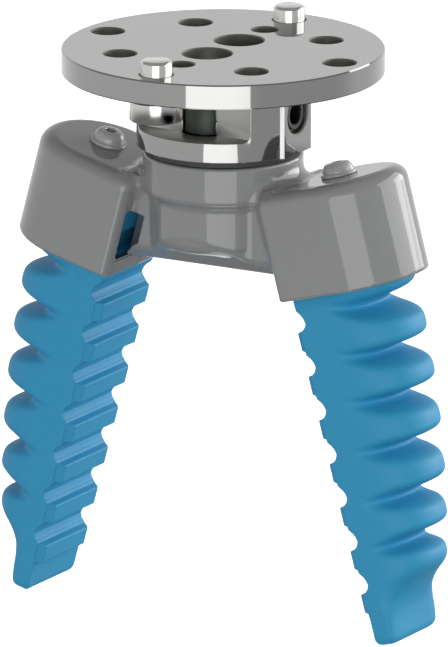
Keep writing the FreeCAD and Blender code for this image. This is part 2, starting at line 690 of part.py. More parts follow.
def finger_link(index):
    """One segment of the finger: a hollow bellows lobe, or the solid tip, with its gripping rib."""
    if index == LINKS - 1:
        return tip_block().fuse(rib(index)).removeSplitter()
    link = lobe(index, 0, (0, 0.25, 0.5, 0.75, 1)).fuse(rib(index)).removeSplitter()
    middle_z = boundary(index)[0] - RIB_PITCH / 2
    cuts = [lobe(index, CHAMBER_WALL, CHAMBER_ENDS)]
    cuts.append(cylinder(AIR_PASSAGE_D / 2, RIB_PITCH, V(air_passage_x(index), 0, middle_z)))
    if index < LINKS - 2:
        cuts.append(cylinder(AIR_PASSAGE_D / 2, RIB_PITCH, V(air_passage_x(index + 1), 0, middle_z), -UP))
    return link.cut(cuts)


def finger_root():
    """Fixed end of the finger: a plug around the root insert, and a half lobe and ledge below the rim."""
    inner = CAVITY_INNER + ROOT_CLEARANCE
    half_y = CAVITY_HALF_Y - ROOT_CLEARANCE
    plug = d_block(inner, CAVITY_BACK - ROOT_CLEARANCE, half_y, HOUSING_BOTTOM, ROOF_BOTTOM)
    recess_h = ROOT_RECESS_TOP - HOUSING_BOTTOM
    plug = plug.cut(Part.makeBox(ROOT_RECESS_DEPTH, 2 * half_y, recess_h, V(inner, -half_y, HOUSING_BOTTOM)))
    low_z, low_tilt = boundary(0)
    low_z += LINK_GAP / 2
    low_tilt += LINK_GAP_ANGLE / 2
    wires = []
    for share in (0, 0.5, 1):
        z = HOUSING_BOTTOM + (low_z - HOUSING_BOTTOM) * share
        rise = math.cos(math.pi / 2 * share) ** LOBE_POWER if share < 1 else 0
        back = valley_back(0) + (ROOT_LOBE_BACK - valley_back(0)) * rise
        wires.append(finger_section(z, low_tilt * share, inner + ROOT_RECESS_DEPTH, back, half_width(0)))
    ledge_z = RIB_PITCH - RIB_FACE
    outline = [
        V(HINGE_X, 0, HOUSING_BOTTOM),
        V(inner, 0, HOUSING_BOTTOM),
        V(inner, 0, ledge_z - RIB_RISE),
        V(RIB_SHOULDER, 0, ledge_z - RIB_SHOULDER_H),
        V(GROOVE_DEPTH, 0, low_z),
        V(HINGE_X, 0, low_z),
    ]
    ledge_y = half_width(0)
    ledge = prism([p + V(0, -ledge_y, 0) for p in outline], V(0, 2 * ledge_y, 0))
    root = plug.fuse([Part.makeLoft(wires, True), ledge]).removeSplitter()
    seat = V(CLAMP_SCREW_X, 0, ROOF_BOTTOM)
    stem_depth = ROOT_INSERT_H + ROOT_STEM_H
    cuts = [
        cylinder(ROOT_INSERT_D / 2 + SEAT_CLEARANCE, ROOT_INSERT_H, seat, -UP),
        cylinder(ROOT_STEM_D / 2 + SEAT_CLEARANCE, stem_depth, seat, -UP),
        cylinder(AIR_PASSAGE_D / 2, ROOF_BOTTOM, V(air_passage_x(0), 0, ROOF_BOTTOM - stem_depth), -UP),
    ]
    return root.cut(cuts)


def main():
    """Builds every piece and writes one STEP file per node."""
    pieces = {
        "adapter_flange": adapter_flange(),
        "flange_screws": flange_screws(),
        "body_screws": body_screws(),
        "body_inserts": body_inserts(),
        "face_gasket": face_gasket(),
        "port_cartridge": port_cartridge(),
        "gripper_body": gripper_body(),
        "clamp_screws": clamp_screws(),
    }
    finger = {"root_insert": root_insert(), "root_oring": root_oring(), "finger_root": finger_root()}
    for index in range(LINKS):
        finger[f"finger_link_{index + 1}"] = finger_link(index)
    for name, upright in finger.items():
        right = in_finger_frame(upright)
        pieces[f"right_{name}"] = right
        pieces[f"left_{name}"] = half_turn(right)
    os.makedirs("parts", exist_ok=True)
    for name, shape in pieces.items():
        shape.exportStep(f"parts/{name}.step")


main()
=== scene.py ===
"""Visual model of a soft-finger parallel gripper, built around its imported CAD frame.

Sizes are millimetres where no other unit is named, and Blender's objects are in metres. +Z points to the
robot, the origin is the centre of the flange's top face, and the two fingers lie along +X and -X.

A finger has a frame of its own, tilted with its housing: x is the depth behind its gripping face and z runs
up along it. A station is a distance down the finger from the top of its first rib.
"""
import json
import math
from functools import partial

import bmesh
import bpy
import numpy as np
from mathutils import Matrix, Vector


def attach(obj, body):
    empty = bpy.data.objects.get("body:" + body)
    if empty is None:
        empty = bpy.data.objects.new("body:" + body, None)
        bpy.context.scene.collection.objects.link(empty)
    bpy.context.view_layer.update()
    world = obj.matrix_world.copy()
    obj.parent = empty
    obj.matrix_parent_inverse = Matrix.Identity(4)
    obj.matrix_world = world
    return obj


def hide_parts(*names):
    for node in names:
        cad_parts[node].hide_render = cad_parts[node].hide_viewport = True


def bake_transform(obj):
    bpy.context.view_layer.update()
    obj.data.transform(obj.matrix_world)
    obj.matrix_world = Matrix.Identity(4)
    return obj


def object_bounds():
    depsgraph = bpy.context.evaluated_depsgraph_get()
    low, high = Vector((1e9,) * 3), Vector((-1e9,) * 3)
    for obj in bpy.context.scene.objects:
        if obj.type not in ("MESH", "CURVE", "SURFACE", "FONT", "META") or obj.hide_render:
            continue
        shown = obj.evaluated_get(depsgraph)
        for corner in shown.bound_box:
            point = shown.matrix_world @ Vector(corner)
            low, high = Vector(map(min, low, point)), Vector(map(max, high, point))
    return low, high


bl_info = {
    "name": "Soft-finger gripper",
    "version": (1, 0, 0),
    "blender": (4, 5, 0),
    "location": "View3D > Sidebar > Gripper",
    "description": "Builds the pieces, finishes and studio of a pneumatic soft-finger gripper",
    "category": "Object",
}

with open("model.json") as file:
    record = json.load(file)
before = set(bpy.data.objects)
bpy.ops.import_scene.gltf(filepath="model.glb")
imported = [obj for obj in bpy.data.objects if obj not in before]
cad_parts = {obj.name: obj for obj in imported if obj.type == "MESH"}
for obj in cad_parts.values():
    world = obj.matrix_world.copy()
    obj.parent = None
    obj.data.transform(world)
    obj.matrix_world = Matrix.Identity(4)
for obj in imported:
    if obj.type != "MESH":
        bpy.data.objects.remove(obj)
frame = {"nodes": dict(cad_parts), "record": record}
CAD_BOX = [list(corner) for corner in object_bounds()]

MM = 0.001
SIDES = ((1, "right"), (-1, "left"))
LINKS = sum(joint["name"].startswith("right_bend") for joint in frame["record"]["behaviour"]["joints"])
MOUNTS = {mount["name"]: mount for mount in frame["record"]["mounts"]}


def linear(code):
    """Linear RGBA of an sRGB hex colour."""
    values = [int(code[i : i + 2], 16) / 255 for i in (1, 3, 5)]
    return [v / 12.92 if v <= 0.04045 else ((v + 0.055) / 1.055) ** 2.4 for v in values] + [1.0]


def length(name, description, millimetres):
    """Length property with its default in millimetres."""
    return bpy.props.FloatProperty(
        name=name, description=description, default=millimetres * MM, unit="LENGTH"
    )


def angle(name, description, degrees):
    """Angle property with its default in degrees."""
    return bpy.props.FloatProperty(
        name=name, description=description, default=math.radians(degrees), subtype="ANGLE"
    )


def colour(name, description, code):
    """Colour property with an sRGB hex default."""
    return bpy.props.FloatVectorProperty(
        name=name, description=description, default=linear(code), size=4, subtype="COLOR", min=0, max=1
    )


class FlangeSettings(bpy.types.PropertyGroup):
    """Sizes and finishes of the adapter flange."""

    metal: colour("Flange colour", "Colour of the finely turned aluminium", "#A5A5A4")
    # Darker than the flange: the hole walls' tone is partly a truly rougher drilled finish and partly
    # painted shade inside the holes
    drilled: colour("Hole colour", "Colour of the rougher walls of the drilled holes", "#85847E")
    milled: colour("Pocket colour", "Colour of the milled pockets beside the body screws", "#C8C8C5")
    edge: length("Edge break", "Width of the broken edges of the flange", 0.25)
    boss_radius: length("Boss radius", "Radius of the boss under the disc", 16.3)


class ScrewSettings(bpy.types.PropertyGroup):
    """Finishes of the screws, and how far the flange screws stand out."""

    steel: colour("Flange screw colour", "Colour of the polished stainless flange screws", "#D8D7D4")
    black: colour("Body screw colour", "Colour of the black oxide body screws", "#4A504C")
    coated: colour("Clamp screw colour", "Colour of the grey coated clamp screws", "#AFB0B0")
    stickout: length("Stickout", "How far the flange screws stand above the disc", CAD_BOX[1][2] / MM)


class SealSettings(bpy.types.PropertyGroup):
    """Finishes of the seals, the air port's cartridge and the hidden inserts."""

    rubber: colour("Rubber colour", "Colour of the black nitrile rubber", "#2B2C2D")
    dust: colour("Dust colour", "Colour of the pale grain on the rubber", "#484A4B")
    cartridge: colour("Cartridge colour", "Colour of the acetal cartridge in the air port", "#151617")
    brass: colour("Brass colour", "Colour of the turned brass inserts", "#C9A45C")
    nylon: colour("Nylon colour", "Colour of the root inserts", "#6E6F70")


class BodySettings(bpy.types.PropertyGroup):
    """Sizes and finish of the moulded body."""

    plastic: colour("Body colour", "Colour of the glossy moulded plastic", "#8A8B8C")
    neck_radius: length("Neck radius", "Radius of the neck under the seal", 15.1)
    drum_radius: length("Drum radius", "Radius of the drum between the housings", 13.4)
    neck_fillet: length("Neck fillet", "Radius of the blend from the neck to the housing tops", 3.2)
    web_fillet: length("Web fillet", "Radius of the blend from the drum to the web's flanks", 3.0)
    detail: length("Mesh detail", "Grid step of the body's mesh", 0.42)


class FingerSettings(bpy.types.PropertyGroup):
    """Sizes and finish of the soft fingers."""

    silicone: colour("Finger colour", "Colour of the moulded silicone", "#2F96C3")
    half_width: length("Half width", "Half the width of the finger at its first rib", 9.7)
    groove_depth: length("Groove depth", "Depth of the grooves between the ribs", 2.7)


class StageSettings(bpy.types.PropertyGroup):
    """Camera and studio floor."""

    azimuth: angle("Azimuth", "Camera angle from the front", 29.85)
    elevation: angle("Elevation", "Camera angle above the horizon", 14.79)
    field: angle("Field of view", "Angle that the picture's longer side takes in", 2.4)
    span: length("Span", "Size at the gripper that the picture's longer side takes in", 121.7)
    aim_height: length("Aim height", "Height of the camera's aim", -53.59)
    aim_right: length("Aim right", "Distance of the camera's aim to the right of the middle", 0.15)
    floor: colour("Floor colour", "Colour of the studio floor", "#F4F4F4")
    floor_drop: length("Floor drop", "Height of the flange's top face above the floor", 600.0)


def add_node(tree, kind, inputs=None, **settings):
    """Adds a node, sets its properties and its input values, and links the inputs that are given sockets."""
    made = tree.nodes.new(kind)
    for name, value in settings.items():
        setattr(made, name, value)
    for name, value in (inputs or {}).items():
        if isinstance(value, bpy.types.NodeSocket):
            tree.links.new(value, made.inputs[name])
        else:
            made.inputs[name].default_value = value
    return made


def new_material(name):
    """Empty node material, the function that adds nodes to it, and the socket of its places, in metres."""
    material = bpy.data.materials.new(name)
    material.use_nodes = True
    material.node_tree.nodes.clear()
    add = partial(add_node, material.node_tree)
    return material, add, add("ShaderNodeTexCoord").outputs["Object"]


def finish_material(material, shader):
    """Links a shader to the material's new output node."""
    add_node(material.node_tree, "ShaderNodeOutputMaterial", {"Surface": shader.outputs[0]})
    return material


def turned_aluminium(tone):
    """Aluminium, finely turned on a lathe."""
    # To the eye: a clean, slightly soft mirror with faint rings where the tool passed
    material, add, place = new_material("turned_aluminium")
    # Tool marks of 0.1 mm feed, drawn coarser so that they show at this picture size
    feed = 0.35 * MM
    cloud_size = 14 * MM
    split = add("ShaderNodeSeparateXYZ", {"Vector": place})
    flat = add("ShaderNodeCombineXYZ", {"X": split.outputs["X"], "Y": split.outputs["Y"]})
    radius = add("ShaderNodeVectorMath", {"Vector": flat.outputs[0]}, operation="LENGTH")
    along = add("ShaderNodeCombineXYZ", {"X": radius.outputs["Value"], "Z": split.outputs["Z"]})
    rings = add("ShaderNodeTexNoise", {"Vector": along.outputs[0], "Scale": 1 / feed, "Detail": 2.0})
    cloud = add("ShaderNodeTexNoise", {"Vector": place, "Scale": 1 / cloud_size, "Detail": 3.0})
    levels = {"From Min": 0.3, "From Max": 0.7, "To Min": 0.035, "To Max": 0.055}
    rough = add("ShaderNodeMapRange", {"Value": cloud.outputs["Fac"], **levels})
    tint = add("ShaderNodeMapRange", {"Value": rings.outputs["Fac"], "To Min": 0.94, "To Max": 1.04})
    shade = add("ShaderNodeVectorMath", {0: tone[:3], "Scale": tint.outputs["Result"]}, operation="SCALE")
    marks = add("ShaderNodeBump", {"Height": rings.outputs["Fac"], "Strength": 0.03, "Distance": 0.02 * MM})
    look = {"Base Color": shade.outputs[0], "Metallic": 1.0, "Roughness": rough.outputs["Result"]}
    return finish_material(
        material, add("ShaderNodeBsdfPrincipled", {**look, "Normal": marks.outputs["Normal"]})
    )


def bare_metal(tone, name, low, high):
    """Steel, brass or aluminium as its tool or bath left it, with a roughness from low to high."""
    # To the eye: a metal sheen, bright or dull with its finish, with faint handling marks
    material, add, place = new_material(name)
    mark_size = 1.5 * MM
    marks = add("ShaderNodeTexNoise", {"Vector": place, "Scale": 1 / mark_size, "Detail": 4.0})
    rough = add("ShaderNodeMapRange", {"Value": marks.outputs["Fac"], "To Min": low, "To Max": high})
    look = {"Base Color": tone, "Metallic": 1.0, "Roughness": rough.outputs["Result"]}
    return finish_material(material, add("ShaderNodeBsdfPrincipled", look))


# Skins: sizes of their slow unevenness and of their grain, the grain's detail, how far it tints up and down,
# strength and depth of its bump, and the index of refraction
SMOOTH = (9 * MM, 0.3 * MM, 2.0, 0.07, 0.04, 0.02 * MM, 1.6)
# Mould grain of 0.1 mm, drawn coarser so that it shows at this picture size
CAST = (6 * MM, 0.28 * MM, 3.0, 0.14, 0.10, 0.03 * MM, 1.41)


def grained_skin(tone, name, low, high, skin=SMOOTH):
    """Moulded plastic, a sprayed coating or cast silicone, with a roughness from low to high."""
    # To the eye: an even gloss over a faint unevenness, or on silicone a satin sheen over a speckled skin
    material, add, place = new_material(name)
    swell_size, grain_size, detail, spread, strength, depth, index = skin
    swell = add("ShaderNodeTexNoise", {"Vector": place, "Scale": 1 / swell_size, "Detail": 2.0})
    grain = add("ShaderNodeTexNoise", {"Vector": place, "Scale": 1 / grain_size, "Detail": detail})
    rough = add("ShaderNodeMapRange", {"Value": swell.outputs["Fac"], "To Min": low, "To Max": high})
    levels = {"To Min": 1 - spread, "To Max": 1 + spread}
    tint = add("ShaderNodeMapRange", {"Value": grain.outputs["Fac"], **levels})
    shade = add("ShaderNodeVectorMath", {0: tone[:3], "Scale": tint.outputs["Result"]}, operation="SCALE")
    bump = add("ShaderNodeBump", {"Height": grain.outputs["Fac"], "Strength": strength, "Distance": depth})
    look = {"Base Color": shade.outputs[0], "Roughness": rough.outputs["Result"], "IOR": index}
    return finish_material(
        material, add("ShaderNodeBsdfPrincipled", {**look, "Normal": bump.outputs["Normal"]})
    )


def nitrile_rubber(tone, dust):
    """Nitrile rubber, moulded and dusted with talc."""
    # To the eye: a matte near-black with a fine dusty grain
    material, add, place = new_material("nitrile_rubber")
    grain_size = 0.4 * MM
    grain = add("ShaderNodeTexNoise", {"Vector": place, "Scale": 1 / grain_size, "Detail": 3.0})
    shade = add("ShaderNodeMix", {"Factor": grain.outputs["Fac"], "A": tone, "B": dust}, data_type="RGBA")
    look = {"Base Color": shade.outputs["Result"], "Roughness": 0.6}
    return finish_material(material, add("ShaderNodeBsdfPrincipled", look))


def new_object(name, points, faces):
    """Mesh object from points in millimetres."""
    mesh = bpy.data.meshes.new(name)
    mesh.from_pydata((np.asarray(points, float) * MM).tolist(), [], [list(map(int, f)) for f in faces])
    made = bpy.data.objects.new(name, mesh)
    bpy.context.scene.collection.objects.link(made)
    return made


def add_mesh(name, points, faces, material, normals=None, sharp=None):
    """Smooth piece, with given normals or with edges that are sharp above an angle in degrees."""
    made = new_object(name, points, faces)
    mesh = made.data
    mesh.validate()
    mesh.shade_smooth()
    if normals is not None:
        mesh.normals_split_custom_set_from_vertices(np.asarray(normals, float).tolist())
    elif sharp is not None:
        mesh.set_sharp_from_angle(angle=math.radians(sharp))
    mesh.materials.append(material)
    return made


def place_piece(made, body, slot, *nodes):
    """Ties a finished piece to its body and hides the CAD nodes that it stands for; the slot argument is not
    used.
    """
    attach(made, body)
    if nodes:
        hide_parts(*nodes)


def lathe(profile, steps):
    """Points and faces of a turned solid about Z; the profile is a list of (radius, height)."""
    points = []
    faces = []
    rings = []
    for radius, height in profile:
        if radius < 1e-9:
            rings.append([len(points)])
            points.append((0, 0, height))
            continue
        rings.append(list(range(len(points), len(points) + steps)))
        for i in range(steps):
            turn = 2 * math.pi * i / steps
            points.append((radius * math.cos(turn), radius * math.sin(turn), height))
    for low, high in zip(rings, rings[1:]):
        for i in range(steps):
            j = (i + 1) % steps
            if len(low) == 1 and len(high) == 1:
                continue
            if len(low) == 1:
                faces.append((low[0], high[j], high[i]))
            elif len(high) == 1:
                faces.append((low[i], low[j], high[0]))
            else:
                faces.append((low[i], low[j], high[j], high[i]))
    return np.array(points), faces


def loft_faces(rows, columns):
    """Faces of a loft through closed rows of points, open at both ends."""
    faces = []
    for i in range(rows - 1):
        for j in range(columns):
            k = (j + 1) % columns
            faces.append((i * columns + j, i * columns + k, (i + 1) * columns + k, (i + 1) * columns + j))
    return faces


def stack(rings, steps=96):
    """Points and faces of rings along Z: (radius, height), or (half width, height, 6) for a hexagon."""
    points = []
    for ring in rings:
        for i in range(steps):
            turn = 2 * math.pi * i / steps
            reach = ring[0]
            if len(ring) == 3:
                reach = ring[0] / math.cos((turn + math.pi / 6) % (math.pi / 3) - math.pi / 6)
            points.append((reach * math.cos(turn), reach * math.sin(turn), ring[1]))
    return np.array(points), [face[::-1] for face in loft_faces(len(rings), steps)]


def round_union(a, b, radius):
    """Union of two distances with a hollow-curved blend."""
    u = np.maximum(radius - a, 0)
    v = np.maximum(radius - b, 0)
    return np.maximum(radius, np.minimum(a, b)) - np.hypot(u, v)


def round_cut(a, b, radius):
    """Common part of two distances with a rounded edge."""
    u = np.maximum(radius + a, 0)
    v = np.maximum(radius + b, 0)
    return np.minimum(-radius, np.maximum(a, b)) + np.hypot(u, v)


# Finger frame: its tilt, and where its origin lies on the right side of the gripper
TILT = math.radians(15.0)
FACE_X = 20.9
FACE_Z = -50.7


def to_finger(x, z):
    """Finger frame coordinates (x, z) of points on the right side of the gripper."""
    dx = x - FACE_X
    dz = z - FACE_Z
    return dx * math.cos(TILT) + dz * math.sin(TILT), dz * math.cos(TILT) - dx * math.sin(TILT)


def from_finger(points, side):
    """Gripper coordinates of finger frame points, for the right side (1) or the left side (-1)."""
    points = np.asarray(points, float)
    x = FACE_X + points[:, 0] * math.cos(TILT) - points[:, 2] * math.sin(TILT)
    z = FACE_Z + points[:, 0] * math.sin(TILT) + points[:, 2] * math.cos(TILT)
    return np.stack([side * x, side * points[:, 1], z], 1)


def along_port(points, height):
    """Turns a piece made along Z so that it lies along X at a height, as the air port does."""
    return np.stack([points[:, 2], points[:, 1], height - points[:, 0]], 1)


# Flange: heights, hole circles and hole radii
DISC_THICK = 4.7
BOSS_BOTTOM = -18.6
BOSS_FILLET = 0.2
BOX_CLEARANCE = 0.01
CIRCLE_50 = MOUNTS["holes_circle_50"]["dims"]["spacing_x_mm"] / 2
CIRCLE_40 = MOUNTS["holes_circle_40"]["dims"]["pcd_mm"] / 2
CIRCLE_31_5 = MOUNTS["holes_circle_31_5"]["dims"]["spacing_y_mm"] / 2
M6_HOLE = MOUNTS["holes_circle_40"]["dims"]["hole_r_mm"]
M5_HOLE = MOUNTS["holes_circle_31_5"]["dims"]["hole_r_mm"]
BODY_SCREW_Y = 6.0
COUNTERBORE = 4.65
COUNTERBORE_FLOOR = -14.8
BODY_SCREW_HOLE = 2.75
# Pad of the air port: its face, its half width and its chamfer in plan
PAD_FACE = 16.1
PAD_HALF = 5.8
PAD_CHAMFER = (1.3, 0.8)
PORT_Z = MOUNTS["air_tube_port"]["pos_m"][2] / MM
PORT_RADIUS = 3.75
PORT_FLOOR = 7.6
# Pockets beside the body screws: half width, inner wall, depth of the straight sides and floor radius
POCKET_HALF = 12.15
POCKET_WALL = 9.0
POCKET_SIDE = 8.7
POCKET_ROUND = 1.4
# How far a cutter runs past what it cuts
OVERRUN = 2.0
# Places of the walls' finishes in the flange's list of materials, where the drilled walls carry painted
# shade
DRILLED, MILLED = 1, 2


class GRIPPER_OT_flange(bpy.types.Operator):
    """Builds the turned and milled aluminium flange with broken edges"""

    bl_idname = "gripper.flange"
    bl_label = "Adapter flange"

    def execute(self, context):
        settings = context.scene.gripper_flange
        edge = settings.edge / MM
        boss = settings.boss_radius / MM
        disc = CAD_BOX[1][1] / MM - BOX_CLEARANCE
        profile = [(0, 0), (disc - edge, 0), (disc, -edge), (disc, edge - DISC_THICK)]
        profile += [(disc - edge, -DISC_THICK), (boss + BOSS_FILLET, -DISC_THICK)]
        profile += [(boss, -DISC_THICK - BOSS_FILLET), (boss, BOSS_BOTTOM + edge)]
        profile += [(boss - edge, BOSS_BOTTOM), (0, BOSS_BOTTOM)]
        points, faces = lathe(profile[::-1], 256)
        flange = add_mesh("turned_flange", points, faces, turned_aluminium(settings.metal))
        # The drilled walls' darker colour is painted shade inside the holes and the port, over a truly
        # rougher finish
        flange.data.materials.append(bare_metal(settings.drilled, "drilled_aluminium_with_painted_shade", 0.5, 0.62))
        flange.data.materials.append(bare_metal(settings.milled, "milled_aluminium", 0.38, 0.48))
        near, half = PAD_FACE - PAD_CHAMFER[0], PAD_HALF - PAD_CHAMFER[1]
        pad = [(0, -PAD_HALF), (near, -PAD_HALF), (PAD_FACE, -half)]
        pad += [(x, -y) for x, y in pad[::-1]]
        boolean(flange, [prism("port_pad", pad, BOSS_BOTTOM, -DISC_THICK)], "UNION")
        boolean(flange, flange_cutters(edge), "DIFFERENCE")
        boolean(flange, [port_cutter()], "DIFFERENCE")
        soften(flange, 0.16, 2)
        place_piece(flange, "base", "satin_aluminium", "adapter_flange")
        return {"FINISHED"}


def flange_cutters(edge):
    """Cutters for the flange's holes, its two pockets and the flat face of the port's pad."""
    diagonal = round(CIRCLE_40 / math.sqrt(2), 3)
    cutters = []
    for side in (-1, 1):
        places = [(side * CIRCLE_50, 0, M6_HOLE), (side * diagonal, -diagonal, M6_HOLE)]
        places += [(side * diagonal, diagonal, M6_HOLE), (0, side * CIRCLE_50, M6_HOLE)]
        places.append((0, side * CIRCLE_31_5, M5_HOLE))
        cutters += [hole_cutter((x, y), radius, 0, -DISC_THICK, edge) for x, y, radius in places]
        screw = (0, side * BODY_SCREW_Y)
        cutters.append(hole_cutter(screw, COUNTERBORE, 0, COUNTERBORE_FLOOR, edge))
        cutters.append(hole_cutter(screw, BODY_SCREW_HOLE, COUNTERBORE_FLOOR + 0.8, BOSS_BOTTOM, edge))
        cutters.append(pocket_cutter(side))
    half = PAD_HALF - 0.3
    far = PAD_FACE + 1.9
    face = [(PAD_FACE, -half), (far, -half), (far, half), (PAD_FACE, half)]
    cutters.append(prism("pad_face", face, BOSS_BOTTOM - 0.4, -DISC_THICK))
    return cutters


def prism(name, outline, low, high):
    """Upright prism from a plan outline that runs counter-clockwise."""
    count = len(outline)
    points = [(x, y, low) for x, y in outline] + [(x, y, high) for x, y in outline]
    faces = [tuple(range(count - 1, -1, -1)), tuple(range(count, 2 * count))]
    faces += [(i, (i + 1) % count, count + (i + 1) % count, count + i) for i in range(count)]
    return new_object(name, points, faces)


def hole_cutter(place, radius, top, bottom, edge):
    """Drill for a hole with broken edges at both ends."""
    mouth = radius + edge + OVERRUN
    profile = [(0, bottom - OVERRUN), (mouth, bottom - OVERRUN), (radius, bottom + edge)]
    profile += [(radius, top - edge), (mouth, top + OVERRUN), (0, top + OVERRUN)]
    points, faces = lathe(profile, 48)
    # The hole's walls get the drilled finish, whose darker tone is painted shade
    return finished(new_object("drill", points + np.array((place[0], place[1], 0)), faces), DRILLED)


def finished(cutter, finish):
    """Marks a cutter so that the walls it leaves get one of the flange's later finishes."""
    for _ in range(finish + 1):
        cutter.data.materials.append(None)
    cutter.data.polygons.foreach_set("material_index", [finish] * len(cutter.data.polygons))
    return cutter


def pocket_cutter(side):
    """Milling cutter for the pocket beside a body screw, rounded at its floor ends."""
    outline = [(-POCKET_HALF, 0), (-POCKET_HALF, -POCKET_SIDE)]
    for i in range(7):
        turn = math.pi + math.pi / 2 * i / 6
        x = POCKET_ROUND - POCKET_HALF + POCKET_ROUND * math.cos(turn)
        outline.append((x, POCKET_ROUND * math.sin(turn) - POCKET_SIDE))
    outline += [(-x, z) for x, z in outline[::-1]]
    count = len(outline)
    points = [(x, side * y, z - DISC_THICK) for y in (POCKET_WALL, 20.0) for x, z in outline]
    faces = [tuple(range(count)), tuple(range(2 * count - 1, count - 1, -1))]
    faces += [(i, count + i, count + (i + 1) % count, (i + 1) % count) for i in range(count)]
    if side < 0:
        faces = [face[::-1] for face in faces]
    return finished(new_object("pocket", points, faces), MILLED)


def port_cutter():
    """Drill for the air port in the pad, with a broken edge."""
    edge = 0.25
    far = PAD_FACE + OVERRUN
    profile = [(0, PORT_FLOOR), (PORT_RADIUS, PORT_FLOOR), (PORT_RADIUS, PAD_FACE - edge)]
    profile += [(PORT_RADIUS + OVERRUN + edge, far), (0, far)]
    points, faces = lathe(profile, 64)
    # The port's bore gets the drilled finish, whose darker tone is painted shade
    return finished(new_object("port_drill", along_port(points, PORT_Z), faces), DRILLED)


def boolean(made, tools, operation):
    """Applies a list of helper solids to a piece and removes them."""
    for tool in tools:
        step = made.modifiers.new("cut", "BOOLEAN")
        step.object = tool
        step.operation = operation
        step.solver = "EXACT"
    bake_modifiers(made)
    for tool in tools:
        bpy.data.objects.remove(tool)


def bake_modifiers(made):
    """Turns a piece's modifiers into its mesh."""
    context = bpy.context
    context.view_layer.update()
    ready = made.evaluated_get(context.evaluated_depsgraph_get())
    mesh = bpy.data.meshes.new_from_object(ready)
    made.modifiers.clear()
    made.data = mesh


def soften(made, width, segments):
    """Breaks a piece's sharp edges so that they catch light."""
    work = bmesh.new()
    work.from_mesh(made.data)
    bmesh.ops.remove_doubles(work, verts=work.verts, dist=0.004 * MM)
    bmesh.ops.dissolve_limit(work, angle_limit=math.radians(0.5), verts=work.verts, edges=work.edges)
    work.to_mesh(made.data)
    work.free()
    bevel = made.modifiers.new("edge", "BEVEL")
    bevel.width = width * MM
    bevel.segments = segments
    bevel.limit_method = "ANGLE"
    bevel.angle_limit = math.radians(50)
    bevel.harden_normals = False
    bake_modifiers(made)
    made.data.shade_smooth()
    made.data.set_sharp_from_angle(angle=math.radians(28))


# Screws: where the clamp screws stand in the finger's frame, and the tiny hole left in a screw's ends
CLAMP_X = 11.5
CLAMP_SEAT = 27.02
CENTRE = 0.05
SCREW_SHARP = 32


class GRIPPER_OT_fasteners(bpy.types.Operator):
    """Builds the flange screws, body screws and clamp screws with their sockets and chamfers"""

    bl_idname = "gripper.fasteners"
    bl_label = "Screws"

    def execute(self, context):
        settings = context.scene.gripper_screws
        bright = bare_metal(settings.steel, "polished_stainless_steel", 0.12, 0.2)
        black = bare_metal(settings.black, "black_oxide_steel", 0.45, 0.6)
        grey = grained_skin(settings.coated, "grey_zinc_flake_coating", 0.10, 0.16)
        points, faces = stack(flange_screw_rings(settings.stickout / MM))
        self.pair("flange_screw", points, faces, CIRCLE_50, bright, "bright_steel", "flange_screws")
        points, faces = stack(body_screw_rings())
        self.pair("body_screw", points, faces, BODY_SCREW_Y, black, "black_steel", "body_screws")
        points, faces = stack(clamp_screw_rings())
        points = points + np.array((CLAMP_X, 0, 0))
        for side, name in SIDES:
            placed = from_finger(points, side)
            screw = add_mesh(f"{name}_clamp_screw", placed, faces, grey, sharp=SCREW_SHARP)
            place_piece(screw, "base", "bright_steel", "clamp_screws")
        return {"FINISHED"}

    def pair(self, name, points, faces, reach, material, slot, node):
        """Two like screws at a reach before and behind the middle."""
        for side, label in ((1, "back"), (-1, "front")):
            placed = points + np.array((0, side * reach, 0))
            made = add_mesh(f"{label}_{name}", placed, faces, material, sharp=SCREW_SHARP)
            place_piece(made, "base", slot, node)


def flange_screw_rings(top):
    """Low-head M6 screw, head down under the disc, from its hexagon socket to its chamfered end."""
    shank = MOUNTS["screws_circle_50"]["dims"]["stud_r_mm"]
    rings = [(CENTRE, -6.4, 6), (2.0, -6.4, 6), (2.0, -8.55, 6), (2.15, -8.7, 6), (2.6, -8.7), (4.6, -8.7)]
    rings += [(4.85, -8.6), (5.0, -8.35), (5.0, -4.9), (4.85, -4.72), (shank, -4.72), (shank, top - 0.5)]
    return rings + [(2.97, top - 0.42), (2.55, top - 0.02), (2.48, top), (CENTRE, top)]


def body_screw_rings():
    """Cap-head M5 screw in the flange's counterbore, from its end to its hexagon socket."""
    rings = [(CENTRE, -28.8), (2.2, -28.8), (2.5, -28.4), (2.5, -14.75), (4.1, -14.75), (4.25, -14.6)]
    rings += [(4.25, -10.2), (4.15, -9.9), (3.9, -9.8), (2.6, -9.8), (2.15, -9.8, 6), (2.0, -9.95, 6)]
    return rings + [(2.0, -12.3, 6), (CENTRE, -12.3, 6)]


def clamp_screw_rings():
    """Flanged button-head M3 screw on a housing's roof, in the finger's frame."""
    rim = CLAMP_SEAT + 0.72
    rings = [(CENTRE, 15.0), (1.5, 15.0), (1.5, CLAMP_SEAT), (3.3, CLAMP_SEAT), (3.45, 27.12), (3.45, 27.55)]
    rings += [(3.38, 27.68), (3.2, 27.72), (3.0, rim)]
    for i in range(1, 9):
        turn = math.radians(62) * i / 8
        rings.append((1.4 + 1.6 * math.cos(turn), rim + 1.98 * math.sin(turn)))
    return rings + [(1.5, 29.58), (1.08, 29.58, 6), (1.0, 29.5, 6), (1.0, 28.3, 6), (CENTRE, 28.3, 6)]


# Outlines as (radius, height) about their axes: the face seal, and the air port's cartridge from its back
SEAL = [(2.5, -18.62), (14.35, -18.62), (14.6, -18.8), (14.6, -19.75), (14.35, -19.93), (2.5, -19.93)]
CARTRIDGE = [(2.0, 8.7), (3.5, 8.7), (3.68, 8.9), (3.68, 14.9), (3.5, 15.1), (3.05, 15.1), (3.0, 15.5)]
CARTRIDGE += [(2.9, 15.6), (2.2, 15.6), (2.0, 15.4)]


